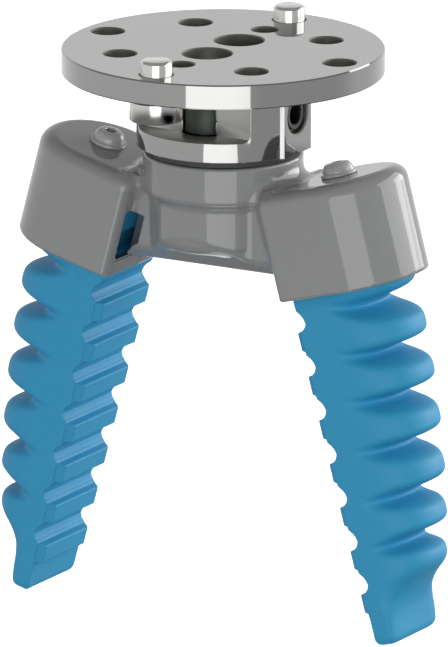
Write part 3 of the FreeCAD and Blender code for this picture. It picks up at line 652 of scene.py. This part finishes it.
class GRIPPER_OT_seals(bpy.types.Operator):
    """Builds the seal under the boss and the air port's cartridge, and finishes the hidden pieces"""

    bl_idname = "gripper.seals"
    bl_label = "Seals and air port"

    def execute(self, context):
        settings = context.scene.gripper_seals
        rubber = nitrile_rubber(settings.rubber, settings.dust)
        points, faces = stack([SEAL[0]] + SEAL[::-1], 160)
        seal = add_mesh("face_seal", points, faces, rubber, sharp=40)
        place_piece(seal, "base", "black_rubber", "face_gasket")
        black = grained_skin(settings.cartridge, "black_acetal", 0.22, 0.32)
        points, faces = stack(CARTRIDGE + CARTRIDGE[:1], 72)
        turned = along_port(points, PORT_Z)
        port = add_mesh("air_port_cartridge", turned, faces, black, sharp=SCREW_SHARP)
        place_piece(port, "base", "black_plastic", "port_cartridge")
        nylon = grained_skin(settings.nylon, "glass_filled_nylon", 0.3, 0.42)
        hidden = {"body_inserts": bare_metal(settings.brass, "turned_brass", 0.18, 0.3)}
        for _, name in SIDES:
            hidden[f"{name}_root_insert"] = nylon
            hidden[f"{name}_root_oring"] = rubber
        for name, finish in hidden.items():
            mesh = frame["nodes"][name].data
            mesh.materials.clear()
            mesh.materials.append(finish)
        return {"FINISHED"}


# Moulded body about Z: heights of the neck, the drum and the web between the housings
NECK_TOP = -19.95
NECK_FOOT = -27.3
DRUM_TOP = -22.0
DRUM_FOOT = -37.55
WEB_TOP = -25.3
WEB_FOOT = -41.3
WEB_FOOT_HALF = 5.2
WEB_SLANT = (0.622, 0.783)
WEB_START = math.radians(43.8)
WEB_END = 0.4
INSERT_HOLE = 3.5
INSERT_FLOOR = -28.95
# Housings in the finger's frame: plan, roof, mouth, wall and the screw hole in the roof
HOUSING_FACE = -0.75
HOUSING_BACK = 24.1
HOUSING_HALF = 12.3
HOUSING_ROOF = 27.0
HOUSING_MOUTH = 6.55
HOUSING_WALL = 1.6
CAVITY_ROOF = 23.0
CLAMP_HOLE = 1.7
# Window in a housing's inner face: depths, edges across and along the finger, and its sloping sill
WINDOW_DEPTHS = (-3.5, 2.4)
WINDOW_ACROSS = (5.0, 10.1)
WINDOW_TOP = 19.7
WINDOW_SILL = ((-3.5, -2.5, -1.0, 0.0), (14.2, 13.3, 11.1, 8.25))
REVEAL_START = -3.0
REVEAL_SLOPE = 0.75
FAR_OUTSIDE = 9.0
# Beside a window the blend from the neck thins out over this drop below this height
THIN_BLEND_TOP = -26.5
THIN_BLEND_DROP = 3.0
THIN_BLEND_SHARE = 0.85
# Box that holds the whole body
BODY_LOW = (-45.0, -17.0, -46.5)
BODY_HIGH = (45.0, 17.0, -16.5)


def d_distance(x, y, inner, back, half_y, corner):
    """Plan distance of a D shape: flat inner side with rounded corners, parallel flanks and a round back."""
    centre = back - half_y
    side = np.hypot(np.maximum(x - centre, 0), y) - half_y
    return round_cut(side, inner - x, corner)


def turned_distance(r, z, neck_r, drum_r):
    """Distance of the neck and the drum, which are turned about Z."""
    neck = round_cut(round_cut(r - neck_r, z - NECK_TOP, 0.4), NECK_FOOT - z, 0.9)
    drum = np.maximum(round_cut(r - drum_r, DRUM_FOOT - z, 2.4), z - DRUM_TOP)
    return round_union(neck, drum, 2.0)


def web_distance(x, y, z, fx, drum_r, fillet):
    """Distance of the web that runs from the drum to both housings, with a sloping keel under it."""
    cx = (drum_r + fillet) * math.cos(WEB_START)
    cy = (drum_r + fillet) * math.sin(WEB_START)
    arc = fillet - np.hypot(np.minimum(x - cx, 0), np.maximum(cy - y, 0))
    on_drum = x * math.sin(WEB_START) < y * math.cos(WEB_START)
    flank = np.where(on_drum, np.hypot(x, y) - drum_r, arc)
    keel = (y - WEB_FOOT_HALF) * WEB_SLANT[0] - (z - WEB_FOOT) * WEB_SLANT[1]
    web = round_cut(round_cut(flank, keel, 0.8), WEB_FOOT - z, 0.5)
    return np.maximum(np.maximum(web, z - WEB_TOP), fx - WEB_END)


def window_distance(y, fx, fz, own_side):
    """Distance of a housing's window, whose reveal and sill slant inwards."""
    sill = np.interp(fx, *WINDOW_SILL)
    # The factors bring the distances to slanted walls near their true lengths
    reveal = WINDOW_ACROSS[0] - REVEAL_SLOPE * np.maximum(fx - REVEAL_START, 0) - y
    sides = np.maximum(np.maximum(y - WINDOW_ACROSS[1], reveal * 0.8), fz - WINDOW_TOP)
    window = np.maximum(sides, (sill - fz) * 0.5)
    window = np.maximum(np.maximum(window, WINDOW_DEPTHS[0] - fx), fx - WINDOW_DEPTHS[1])
    return np.where(own_side, window, FAR_OUTSIDE)


def body_distance(points, neck_r, drum_r, neck_fillet, web_fillet):
    """Signed distance of the moulded body."""
    x = np.abs(points[:, 0])
    y = np.abs(points[:, 1])
    z = points[:, 2]
    fx, fz = to_finger(x, z)
    # Each housing has one window, half a turn round from the other's
    own_side = points[:, 0] * points[:, 1] > 0
    turned = turned_distance(np.hypot(x, y), z, neck_r, drum_r)
    body = round_union(turned, web_distance(x, y, z, fx, drum_r, web_fillet), 0.5)
    plan = d_distance(fx, y, HOUSING_FACE, HOUSING_BACK, HOUSING_HALF, 2.0)
    housing = round_cut(round_cut(plan, fz - HOUSING_ROOF, 2.8), HOUSING_MOUTH - fz, 0.45)
    thin = own_side * np.clip((THIN_BLEND_TOP - z) / THIN_BLEND_DROP, 0, 1)
    body = round_union(body, housing, neck_fillet * (1 - THIN_BLEND_SHARE * thin))
    wall = HOUSING_WALL
    plan = d_distance(fx, y, HOUSING_FACE + wall, HOUSING_BACK - wall, HOUSING_HALF - wall, 0.8)
    body = round_cut(body, -np.maximum(plan, fz - CAVITY_ROOF), 0.25)
    body = round_cut(body, -window_distance(y, fx, fz, own_side), 0.2)
    hole = np.maximum(np.hypot(fx - CLAMP_X, y) - CLAMP_HOLE, CAVITY_ROOF - 3 - fz)
    insert = np.maximum(np.hypot(x, y - BODY_SCREW_Y) - INSERT_HOLE, INSERT_FLOOR - z)
    return np.maximum(np.maximum(body, -hole), -insert)


def gradient(distance, points, reach):
    """Slope of a distance at points, by central differences."""
    parts = []
    for axis in range(3):
        shift = np.zeros(3)
        shift[axis] = reach
        parts.append((distance(points + shift) - distance(points - shift)) / (2 * reach))
    return np.stack(parts, 1)


def surface_net(distance, low, high, step):
    """Points, quads and normals of a distance's zero surface on a grid, with the points moved onto it."""
    axes = [np.arange(a, b + step, step) for a, b in zip(low, high)]
    grid = np.stack(np.meshgrid(*axes, indexing="ij"), -1)
    shape = grid.shape[:3]
    inside = (distance(grid.reshape(-1, 3)) < 0).reshape(shape)
    size = [n - 1 for n in shape]
    count = np.zeros(size, int)
    for i in (0, 1):
        for j in (0, 1):
            for k in (0, 1):
                count += inside[i : i + size[0], j : j + size[1], k : k + size[2]]
    mixed = (count > 0) & (count < 8)
    index = np.full(size, -1)
    index[mixed] = np.arange(mixed.sum())
    points = np.array(low) + (np.argwhere(mixed) + 0.5) * step
    faces = []
    for axis in range(3):
        u, v = (axis + 1) % 3, (axis + 2) % 3
        first = np.take(inside, range(shape[axis] - 1), axis)
        second = np.take(inside, range(1, shape[axis]), axis)
        edges = np.argwhere(first != second)
        outward = first[tuple(edges.T)]
        corners = []
        for du, dv in ((1, 1), (0, 1), (0, 0), (1, 0)):
            cell = edges.copy()
            cell[:, u] -= du
            cell[:, v] -= dv
            corners.append(index[tuple(cell.T)])
        quad = np.stack(corners, 1)
        faces.append(np.where(outward[:, None], quad, quad[:, ::-1]))
    faces = np.concatenate(faces)
    for _ in range(6):
        value = distance(points)
        slope = gradient(distance, points, 0.02)
        points = points - slope * (value / np.maximum((slope**2).sum(1), 0.2))[:, None] * 0.9
    normals = gradient(distance, points, 0.03)
    normals /= np.maximum(np.linalg.norm(normals, axis=1), 1e-9)[:, None]
    return points, faces, normals


class GRIPPER_OT_body(bpy.types.Operator):
    """Builds the moulded body with its blends, housings, windows and cavities"""

    bl_idname = "gripper.body"
    bl_label = "Moulded body"

    def execute(self, context):
        settings = context.scene.gripper_body
        radii = (settings.neck_radius, settings.drum_radius, settings.neck_fillet, settings.web_fillet)
        sizes = [v / MM for v in radii]

        def distance(points):
            return body_distance(points, *sizes)

        points, faces, normals = surface_net(distance, BODY_LOW, BODY_HIGH, settings.detail / MM)
        plastic = grained_skin(settings.plastic, "glossy_moulded_plastic", 0.05, 0.08)
        body = add_mesh("moulded_body", points, faces, plastic, normals)
        place_piece(body, "base", "grey_plastic", "gripper_body")
        return {"FINISHED"}


# Hinge lines of the finger: their pitch, and the first one's rise over the first rib
RIB_PITCH = 8.483
HINGE_RISE = 1.27
# Start of the finger's skin, the rounding of the tip's end and where it starts, the narrowing of half the
# finger per station, and the share of the rounding that the face and the back get
FINGER_START = -10.0
TIP_ROUND = 1.6
TIP_ROUND_START = 59.5
WIDTH_TAPER = 0.015
FACE_INSET = 0.6
# Gripping face: side view of the collar over the ribs, of one rib and of the tip, as (station, depth) points
# whose groove floors are added from the settings
COLLAR = [(-12.0, 1.02), (-4.76, 1.02), (-4.64, 1.14), (-4.26, 1.28), (-3.98, 1.5), (-3.28, 2.12)]
COLLAR += [(-2.58, 2.5)]
COLLAR_GROOVE = (-1.68, -1.4)
RIB_SLANT = [(-0.85, 2.3), (-0.56, 1.95), (-0.5, 1.99), (-0.44, 1.8), (-0.14, 1.5), (-0.04, 1.3)]
RIB_FACE = [(0.0, 0.34), (0.09, 0.1), (0.32, 0.0), (3.36, 0.0), (3.48, 0.03), (3.58, 0.15)]
RIB_RAMP = [(3.74, 1.0), (3.84, 1.14), (4.22, 1.28), (4.5, 1.5), (5.2, 2.12), (5.9, 2.5)]
RIB_GROOVE = 6.8
TIP_FACE = [(4.4, 1.36), (4.8, 1.4), (12.0, 1.4)]
TIP_FACE_START = 3.9
# Bevels at the ends of the ribs, the ledge and crease beside them, and the width of the corners' rounding
BEVEL_DEPTH = 1.38
BEVEL_WIDTH = 0.95
LEDGE = 0.2
CREASE = 0.16
CORNER = 0.1
EDGE = 0.06
# Bellows lobes on the back: stations of their crests and of the valleys between them
LOBE_CRESTS = [-8.8, 0.74, 10.12, 19.6, 29.28, 38.51, 46.55]
LOBE_VALLEYS = [-4.48, 5.14, 14.46, 24.13, 33.85, 42.77]
LAST_FOOT = (50.6, 10.6)
BACK_TOP = 21.1
VALLEY_FLAT = 0.8
# How square a lobe is on its side towards the housing (1) and towards the tip (-1)
LOBE_POWER = {1: 4.4, -1: 3.45}
# Back of the fingertip from its last lobe to its end: stations and heights
TIP_BACK = (
    (46.6, 47.4, 48.5, 49.4, 50.2, 51.4, 52.4, 53.8, 55.2, 57.0, 58.6, 61.5),
    (14.05, 13.85, 13.1, 11.9, 10.75, 9.4, 8.5, 7.4, 6.6, 6.1, 5.8, 5.3),
)
# Sections of the back: steps from flank to middle and between sampled stations, the flank's height at a
# valley, its rise to a crest, its fall along the finger and its limit as a share of the back, the
# flattening of the tip by stations, the depth of the tip's face, and the sections' squareness by stations
SKIN_STEPS = 26
SKIN_SAMPLE = 0.05
FLANK_LOW = 5.5
FLANK_RISE = 4.5
FLANK_DROOP = 0.00019
FLANK_LIMIT = 0.62
TIP_FLAT = ((50.5, 57.0), (0.0, 1.0))
TIP_FACE_DEPTH = 1.4
SECTION_POWER = ((46.0, 53.0, 58.0), (2.3, 2.6, 5.5))
# Lean of the lobes towards the tip: angles in degrees by stations, and the depths where it starts, is
# full, fades and has ended. The crests droop a little more.
LEAN_ANGLES = ((-10.0, -4.8, 42.6), (4.0, 15.2, 0.0))
LEAN_DEPTHS = (5.0, 7.0, 11.0, 14.0)
DROOP = 0.1265
DROOP_DEPTH = 12.5
# Root of the finger in its housing: plan, and (height, front, inset) levels with a step in its front
ROOT_RADIUS = 10.55
ROOT_CENTRE = 11.8
ROOT_LEVELS = [(22.8, 1.0, 0.4), (22.4, 1.0, 0.0), (14.4, 1.0, 0.0), (14.1, 1.2, 0.0)]
ROOT_LEVELS += [(13.8, 2.6, 0.0), (13.5, 2.8, 0.0), (7.3, 2.8, 0.0), (6.9, 2.8, 0.6)]


def lean(station, depth):
    """Distance by which the lobes lean towards the fingertip at a depth behind the gripping face."""
    start, full, fading, end = LEAN_DEPTHS
    slope = math.tan(math.radians(float(np.interp(station, *LEAN_ANGLES))))
    past = min(max(depth - start, 0.0), full - start)
    level = min(max(depth - full, 0.0), fading - full)
    fade = min(max(depth - fading, 0.0), end - fading)
    reach = past**2 / (2 * (full - start)) + level + fade - fade**2 / (2 * (end - fading))
    return slope * reach + DROOP * max(depth - DROOP_DEPTH, 0.0)


def front_profile(groove):
    """Side view of the gripping face: (station, depth) points of the collar, the ribs and the tip."""
    rib = RIB_SLANT + RIB_FACE + RIB_RAMP + [(RIB_GROOVE, groove)]
    points = COLLAR + [(s, groove) for s in COLLAR_GROOVE]
    for k in range(LINKS):
        points += [(k * RIB_PITCH + s, depth) for s, depth in rib]
    tip = (LINKS - 1) * RIB_PITCH
    points = [(s, depth) for s, depth in points if s < tip + TIP_FACE_START]
    return points + [(tip + s, depth) for s, depth in TIP_FACE]


def crest_height(station):
    """Height of the lobes' crests over the gripping plane."""
    return 21.03 - 0.0356 * station - 0.00245 * station**2


def valley_height(station):
    """Height of the valleys between the lobes over the gripping plane."""
    return 14.0 - 0.0212 * station - 0.00186 * station**2


def back_profile():
    """Side view of the back: sampled stations and the heights of lobes, valleys and fingertip there."""
    s = np.arange(-12.0, 62.0, SKIN_SAMPLE)
    back = np.full(s.shape, BACK_TOP)
    feet = [(v, valley_height(v)) for v in LOBE_VALLEYS] + [LAST_FOOT]
    for k, crest in enumerate(LOBE_CRESTS):
        sides = [(feet[k], -1)] if k == 0 else [(feet[k - 1], 1), (feet[k], -1)]
        for (foot, base), sign in sides:
            near = ((s - foot) * sign >= 0) & ((s - crest) * sign <= 0)
            run = np.minimum(np.abs(s[near] - crest) / (abs(crest - foot) - VALLEY_FLAT), 1)
            back[near] = base + (crest_height(crest) - base) * (1 - run ** LOBE_POWER[sign])
    tip = s > TIP_BACK[0][0]
    back[tip] = np.interp(s[tip], *TIP_BACK)
    return s, back


def lobe_skin(half_y):
    """Stations, flank heights, and the depths and half widths of the rounded back from flank to middle.

    The channels between the lobes are narrow at the back and widen and fade out on the flanks.
    """
    s, back = back_profile()
    low = valley_height(s)
    share = np.clip((back - low) / (crest_height(s) - low), 0, 1)
    along = np.maximum(s, 0)
    flat = np.interp(s, *TIP_FLAT)
    flank = (FLANK_LOW + FLANK_RISE * share) * (1 - FLANK_DROOP * along**2)
    flank = np.minimum(flank, FLANK_LIMIT * back)
    flank = (1 - flat) * flank + flat * (TIP_FACE_DEPTH + back) / 2
    power = np.interp(s, *SECTION_POWER)
    depths, widths = [], []
    for i in range(1, SKIN_STEPS + 1):
        turn = math.pi / 2 * i / SKIN_STEPS
        blur = np.interp(i / SKIN_STEPS, (0, 0.5, 1), (0.6, 0.5, 0.5))
        spread = np.exp(-0.5 * (np.arange(-2.5, 2.51, SKIN_SAMPLE) / blur) ** 2)
        depth = flank + (back - flank) * math.sin(turn) ** (2 / power)
        width = (half_y - WIDTH_TAPER * along) * max(math.cos(turn), 0.0) ** (2 / power)
        for values, kept in ((depth, depths), (width, widths)):
            padded = np.pad(values, len(spread) // 2, mode="edge")
            kept.append(np.convolve(padded, spread / spread.sum(), mode="valid"))
    return s, flank, np.array(depths), np.array(widths)


def finger_section(front, flank, half_y):
    """Front of half a section of the finger, from the middle of its face to its flank, as (x, y) points.

    The ribs end in bevels, and a fine crease runs where a bevel meets the flank.
    """
    rise = max(0.0, 1 - front / BEVEL_DEPTH)
    foot_y = half_y - LEDGE
    edge_y = foot_y - EDGE - BEVEL_WIDTH * rise
    foot = max(BEVEL_DEPTH, front + EDGE)
    low = foot + CREASE * rise
    run = np.array((foot - front, foot_y - edge_y))
    step = run * min(CORNER / np.hypot(*run), 0.25)
    points = [(front, edge_y * share) for share in (0, 0.3, 0.6, 0.85, 0.95)]
    points += [(front, edge_y - 1.6 * CORNER), (front, edge_y - CORNER)]
    points.append((front + 0.3 * step[0], edge_y - 0.3 * CORNER))
    points += [(front + part * step[0], edge_y + part * step[1]) for part in (1, 1.6)]
    points += [(foot - step[0], foot_y - step[1]), (low, foot_y + 0.03), (low, foot_y + 0.07)]
    points += [(foot + 0.02, foot_y + 0.12), (foot + 0.06, half_y - 0.03), (foot + 0.16, half_y)]
    return points + [((foot + flank) / 2, half_y), (flank, half_y)]


def link_cuts():
    """Stations where the finger is cut into pieces, in the middle of each link."""
    return [round(-HINGE_RISE + (k + 0.5) * RIB_PITCH, 4) for k in range(LINKS - 1)]


def finger_stations(profile):
    """Stations of the finger's sections, closer together at the profile's corners and at the tip."""
    cuts = link_cuts()
    marks = set(np.round(np.arange(FINGER_START, TIP_ROUND_START, 0.25), 4)) | set(cuts)
    for s, _ in profile:
        if FINGER_START < s < TIP_ROUND_START:
            marks |= {round(s - EDGE, 4), round(s, 4), round(s + EDGE, 4)}
    marks |= set(np.round(TIP_ROUND_START + TIP_ROUND * np.sin(np.linspace(0, math.pi / 2, 9)), 4))
    kept = []
    for mark in sorted(float(m) for m in marks):
        if kept and mark - kept[-1] < 0.02:
            if mark in cuts:
                kept[-1] = mark
            continue
        kept.append(mark)
    return kept


def finger_grid(half_y, groove):
    """Stations of a finger's sections, and its skin as a grid of section loops in the finger's frame."""
    profile = front_profile(groove)
    skin_s, flanks, depths, widths = lobe_skin(half_y)
    stations = finger_stations(profile)
    rows = []
    for station in stations:
        front = float(np.interp(station, *zip(*profile)))
        flank = float(np.interp(station, skin_s, flanks))
        width = half_y - WIDTH_TAPER * max(station, 0)
        along = max(0.0, station - TIP_ROUND_START)
        inset = TIP_ROUND - math.sqrt(max(0.0, TIP_ROUND**2 - along**2))
        half = finger_section(front + FACE_INSET * inset, flank, width - inset)
        depth = np.array([np.interp(station, skin_s, row) for row in depths])
        lateral = np.array([np.interp(station, skin_s, row) for row in widths])
        depth = flank + (depth - flank) * (1 - FACE_INSET * inset / (depth[-1] - flank))
        lateral = lateral * (1 - inset / width)
        lateral[-1] = 0
        half += list(zip(depth, lateral))
        loop = half + [(x, -y) for x, y in half[-2:0:-1]]
        rows.append([(x, y, -station - lean(station, x)) for x, y in loop])
    return stations, np.array(rows)


def grid_normals(grid):
    """Normals of a closed-loop grid of rows."""
    along = np.gradient(grid, axis=0)
    around = np.roll(grid, -1, 1) - np.roll(grid, 1, 1)
    normals = np.cross(around, along)
    return normals / np.maximum(np.linalg.norm(normals, axis=2), 1e-9)[..., None]


def finger_piece(name, grid, normals, side, material):
    """One piece of a finger, closed by a fan at each end, with the whole finger's normals on its skin."""
    rows, columns = grid.shape[:2]
    points = np.concatenate([grid.reshape(-1, 3), grid[:1].mean(1), grid[-1:].mean(1)])
    faces = loft_faces(rows, columns)
    origin = from_finger(np.zeros((1, 3)), side)
    skin = from_finger(normals.reshape(-1, 3), side) - origin
    axis = (from_finger([(0, 0, 1)], side) - origin)[0]
    corners = [skin[v] for face in faces for v in face]
    corners += [axis] * 3 * columns + [-axis] * 3 * columns
    end, first = (rows - 1) * columns, rows * columns
    faces += [((j + 1) % columns, j, first) for j in range(columns)]
    faces += [(end + j, end + (j + 1) % columns, first + 1) for j in range(columns)]
    piece = add_mesh(name, from_finger(points, side), faces, material)
    piece.data.normals_split_custom_set([tuple(n) for n in corners])
    return piece


def root_plug(name, side, material):
    """Finger's root, a tube in its housing with the step in its front that shows through the window."""
    rows = []
    for height, inner, inset in ROOT_LEVELS:
        radius = ROOT_RADIUS - inset
        front = inner + inset
        half = [(front, 0.0), (front, 5.0), (front, radius - 0.9), (front + 0.3, radius - 0.25)]
        half += [(front + 1.0, radius), (ROOT_CENTRE, radius)]
        for i in range(1, 17):
            turn = math.pi / 2 * i / 16
            y = radius * math.cos(turn) if i < 16 else 0.0
            half.append((ROOT_CENTRE + radius * math.sin(turn), y))
        rows.append([(x, y, height) for x, y in half + [(x, -y) for x, y in half[-2:0:-1]]])
    grid = np.array(rows)
    points = from_finger(grid.reshape(-1, 3), side)
    return add_mesh(name, points, loft_faces(*grid.shape[:2]), material, sharp=40)


class GRIPPER_OT_fingers(bpy.types.Operator):
    """Builds the two silicone fingers, each cut into pieces that span the finger's hinge lines"""

    bl_idname = "gripper.fingers"
    bl_label = "Soft fingers"

    def execute(self, context):
        settings = context.scene.gripper_finger
        silicone = grained_skin(settings.silicone, "moulded_silicone", 0.50, 0.58, CAST)
        stations, grid = finger_grid(settings.half_width / MM, settings.groove_depth / MM)
        normals = grid_normals(grid)
        cuts = [0] + [stations.index(c) for c in link_cuts()] + [len(stations) - 1]
        for side, name in SIDES:
            for k in range(LINKS):
                span = slice(cuts[k], cuts[k + 1] + 1)
                piece = finger_piece(f"{name}_finger_{k + 1}", grid[span], normals[span], side, silicone)
                child = f"{name}_finger_link_{k + 1}"
                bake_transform(piece)
                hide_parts(child)
            plug = root_plug(f"{name}_finger_plug", side, silicone)
            place_piece(plug, "base", "blue_silicone", f"{name}_finger_root")
        return {"FINISHED"}


# Studio floor: half width and its solid part, reach behind the gripper and its solid part, reach in front
FLOOR_HALF = 130 * MM
FLOOR_HALF_SOLID = 85 * MM
FLOOR_BACK = 2900 * MM
FLOOR_BACK_SOLID = 2560 * MM
FLOOR_FRONT = 150 * MM
# Light panels: degrees round from the camera to the right, rise, width and height in metres, brightness
PANELS = {
    "front_panel": (-3.6, -0.13, 0.82, 0.84, 1.6),
    "side_panel": (101.0, 0.37, 1.4, 0.75, 2.1),
    "rim_panel": (118.0, 0.14, 0.55, 0.45, 2.7),
}
PANEL_DISTANCE = 1.0
PANEL_TARGET = (0, 0, -25 * MM)
SENSOR = 36.0


def studio_floor(tone, ahead, right):
    """Studio floor, rolled with matte paint."""
    # To the eye: plain white behind the object, with its shadow and soft outer edges
    material, add, place = new_material("matte_studio_paint")
    roller_size = 4 * MM
    paint = add("ShaderNodeTexNoise", {"Vector": place, "Scale": 1 / roller_size, "Detail": 2.0})
    rough = add("ShaderNodeMapRange", {"Value": paint.outputs["Fac"], "To Min": 0.85, "To Max": 0.95})
    matte = add("ShaderNodeBsdfDiffuse", {"Color": tone, "Roughness": rough.outputs["Result"]})
    path = add("ShaderNodeLightPath")
    shown = 0.0
    for ray in ("Is Camera Ray", "Is Glossy Ray", "Is Transmission Ray"):
        rays = {0: shown, 1: path.outputs[ray]}
        shown = add("ShaderNodeMath", rays, operation="ADD", use_clamp=True).outputs[0]
    glow = add("ShaderNodeEmission", {"Color": linear("#FFFFFF"), "Strength": shown})
    lift = add("ShaderNodeAddShader", {0: matte.outputs[0], 1: glow.outputs[0]})
    cover = 1.0
    ends = [(aim, FLOOR_HALF_SOLID, FLOOR_HALF) for aim in (right, -right)]
    for aim, solid, end in ends + [(-ahead, FLOOR_BACK_SOLID, FLOOR_BACK)]:
        reach = {0: place, 1: tuple(aim)}
        away = add("ShaderNodeVectorMath", reach, operation="DOT_PRODUCT").outputs["Value"]
        ramp = {"Value": away, "From Min": solid, "From Max": end, "To Min": 1.0, "To Max": 0.0}
        fade = add("ShaderNodeMapRange", ramp, interpolation_type="SMOOTHSTEP")
        part = {0: fade.outputs["Result"], 1: cover}
        cover = add("ShaderNodeMath", part, operation="MULTIPLY").outputs[0]
    clear = add("ShaderNodeBsdfTransparent")
    soft = add("ShaderNodeMixShader", {0: cover, 1: clear.outputs[0], 2: lift.outputs[0]})
    return finish_material(material, soft)


def studio_world(ahead, right):
    """Grey studio room: pale walls, dim ceiling and ground, a dark corner to the right, a brighter back."""
    world = bpy.data.worlds.new("grey_studio")
    world.use_nodes = True
    world.node_tree.nodes.clear()
    add = partial(add_node, world.node_tree)
    look = add("ShaderNodeTexCoord").outputs["Generated"]
    up = add("ShaderNodeSeparateXYZ", {"Vector": look}).outputs["Z"]
    turn = math.radians(58)
    aims = (ahead * math.cos(turn) + right * math.sin(turn), -ahead)
    corner, back = [
        add("ShaderNodeVectorMath", {0: look, 1: tuple(aim)}, operation="DOT_PRODUCT").outputs["Value"]
        for aim in aims
    ]
    # Walls and ceiling, dark corner, ground and back: the direction that each share of the light follows,
    # from where to where, its levels there and how it joins the others
    shares = [
        (up, 0.15, 0.7, 0.80, 0.32, "ADD"),
        (corner, 0.55, 0.88, 1.0, 0.7, "MULTIPLY"),
        (up, -0.52, -0.28, -0.62, 0.0, "ADD"),
        (back, 0.55, 0.9, 0.0, 0.11, "ADD"),
    ]
    light = 0.0
    for value, start, end, low, high, operation in shares:
        ramp = {"Value": value, "From Min": start, "From Max": end, "To Min": low, "To Max": high}
        share = add("ShaderNodeMapRange", ramp, interpolation_type="SMOOTHSTEP").outputs["Result"]
        light = add("ShaderNodeMath", {0: light, 1: share}, operation=operation).outputs[0]
    room = add("ShaderNodeBackground", {"Color": linear("#FFFFFF"), "Strength": light})
    add("ShaderNodeOutputWorld", {"Surface": room.outputs[0]})
    return world


def add_panel(name, centre, target, width, height, radiance):
    """Rectangular light panel that faces a target, by its brightness."""
    lamp = bpy.data.lights.new(name, "AREA")
    lamp.shape = "RECTANGLE"
    lamp.size = width
    lamp.size_y = height
    lamp.energy = radiance * math.pi * width * height
    made = bpy.data.objects.new(name, lamp)
    bpy.context.scene.collection.objects.link(made)
    made.location = centre
    made.rotation_euler = (target - centre).to_track_quat("-Z", "Y").to_euler()


class GRIPPER_OT_stage(bpy.types.Operator):
    """Adds the floor, lights and camera"""

    bl_idname = "gripper.stage"
    bl_label = "Studio"

    def execute(self, context):
        scene = context.scene
        settings = scene.gripper_stage
        scene.view_settings.view_transform = "Standard"
        turn = settings.azimuth
        ahead = Vector((math.sin(turn), -math.cos(turn), 0))
        right = Vector((math.cos(turn), math.sin(turn), 0))
        scene.world = studio_world(ahead, right)
        plan = ((FLOOR_FRONT, -1), (FLOOR_FRONT, 1), (-FLOOR_BACK, 1), (-FLOOR_BACK, -1))
        drop = Vector((0, 0, -settings.floor_drop))
        corners = [(drop + ahead * a + right * (b * FLOOR_HALF)) / MM for a, b in plan]
        paint = studio_floor(settings.floor, ahead, right)
        add_mesh("studio_floor", corners, [(0, 1, 2, 3)], paint)
        target = Vector(PANEL_TARGET)
        for name, (degrees, rise, width, height, radiance) in PANELS.items():
            swing = math.radians(degrees)
            out = (ahead * math.cos(swing) + right * math.sin(swing)) * PANEL_DISTANCE
            add_panel(name, target + out + Vector((0, 0, rise)), target, width, height, radiance)
        self.add_camera(scene, settings, ahead, right)
        return {"FINISHED"}

    def add_camera(self, scene, settings, ahead, right):
        """Camera at the settings' angles, far enough away to take in their span."""
        rise = settings.elevation
        toward = ahead * math.cos(rise) + Vector((0, 0, math.sin(rise)))
        camera = bpy.data.objects.new("camera", bpy.data.cameras.new("camera"))
        scene.collection.objects.link(camera)
        spread = math.tan(settings.field / 2)
        camera.data.sensor_width = SENSOR
        camera.data.lens = SENSOR / 2 / spread
        camera.data.clip_end = 20
        aim = Vector((0, 0, settings.aim_height)) + right * settings.aim_right
        camera.location = aim + toward * (settings.span / 2 / spread)
        camera.rotation_euler = (-toward).to_track_quat("-Z", "Y").to_euler()
        scene.camera = camera


class GRIPPER_PT_panel(bpy.types.Panel):
    """Lists the gripper's settings and pieces"""

    bl_label = "Gripper"
    bl_space_type = "VIEW_3D"
    bl_region_type = "UI"
    bl_category = "Gripper"

    def draw(self, context):
        for name, group in SETTINGS.items():
            box = self.layout.box()
            for key in group.__annotations__:
                box.prop(getattr(context.scene, name), key)
        for operator in OPERATORS:
            self.layout.operator(operator.bl_idname)


OPERATORS = [
    GRIPPER_OT_flange,
    GRIPPER_OT_fasteners,
    GRIPPER_OT_seals,
    GRIPPER_OT_body,
    GRIPPER_OT_fingers,
    GRIPPER_OT_stage,
]
SETTINGS = {
    "gripper_flange": FlangeSettings,
    "gripper_screws": ScrewSettings,
    "gripper_seals": SealSettings,
    "gripper_body": BodySettings,
    "gripper_finger": FingerSettings,
    "gripper_stage": StageSettings,
}


def register():
    """Registers the settings, operators and panel."""
    for name, group in SETTINGS.items():
        bpy.utils.register_class(group)
        setattr(bpy.types.Scene, name, bpy.props.PointerProperty(type=group))
    for operator in OPERATORS:
        bpy.utils.register_class(operator)
    bpy.utils.register_class(GRIPPER_PT_panel)


def unregister():
    """Removes what register added."""
    bpy.utils.unregister_class(GRIPPER_PT_panel)
    for operator in reversed(OPERATORS):
        bpy.utils.unregister_class(operator)
    for name, group in SETTINGS.items():
        delattr(bpy.types.Scene, name)
        bpy.utils.unregister_class(group)


def main():
    """Builds every piece."""
    register()
    bpy.ops.gripper.flange()
    bpy.ops.gripper.fasteners()
    bpy.ops.gripper.seals()
    bpy.ops.gripper.body()
    bpy.ops.gripper.fingers()
    bpy.ops.gripper.stage()


if __name__ == "__main__":
    main()
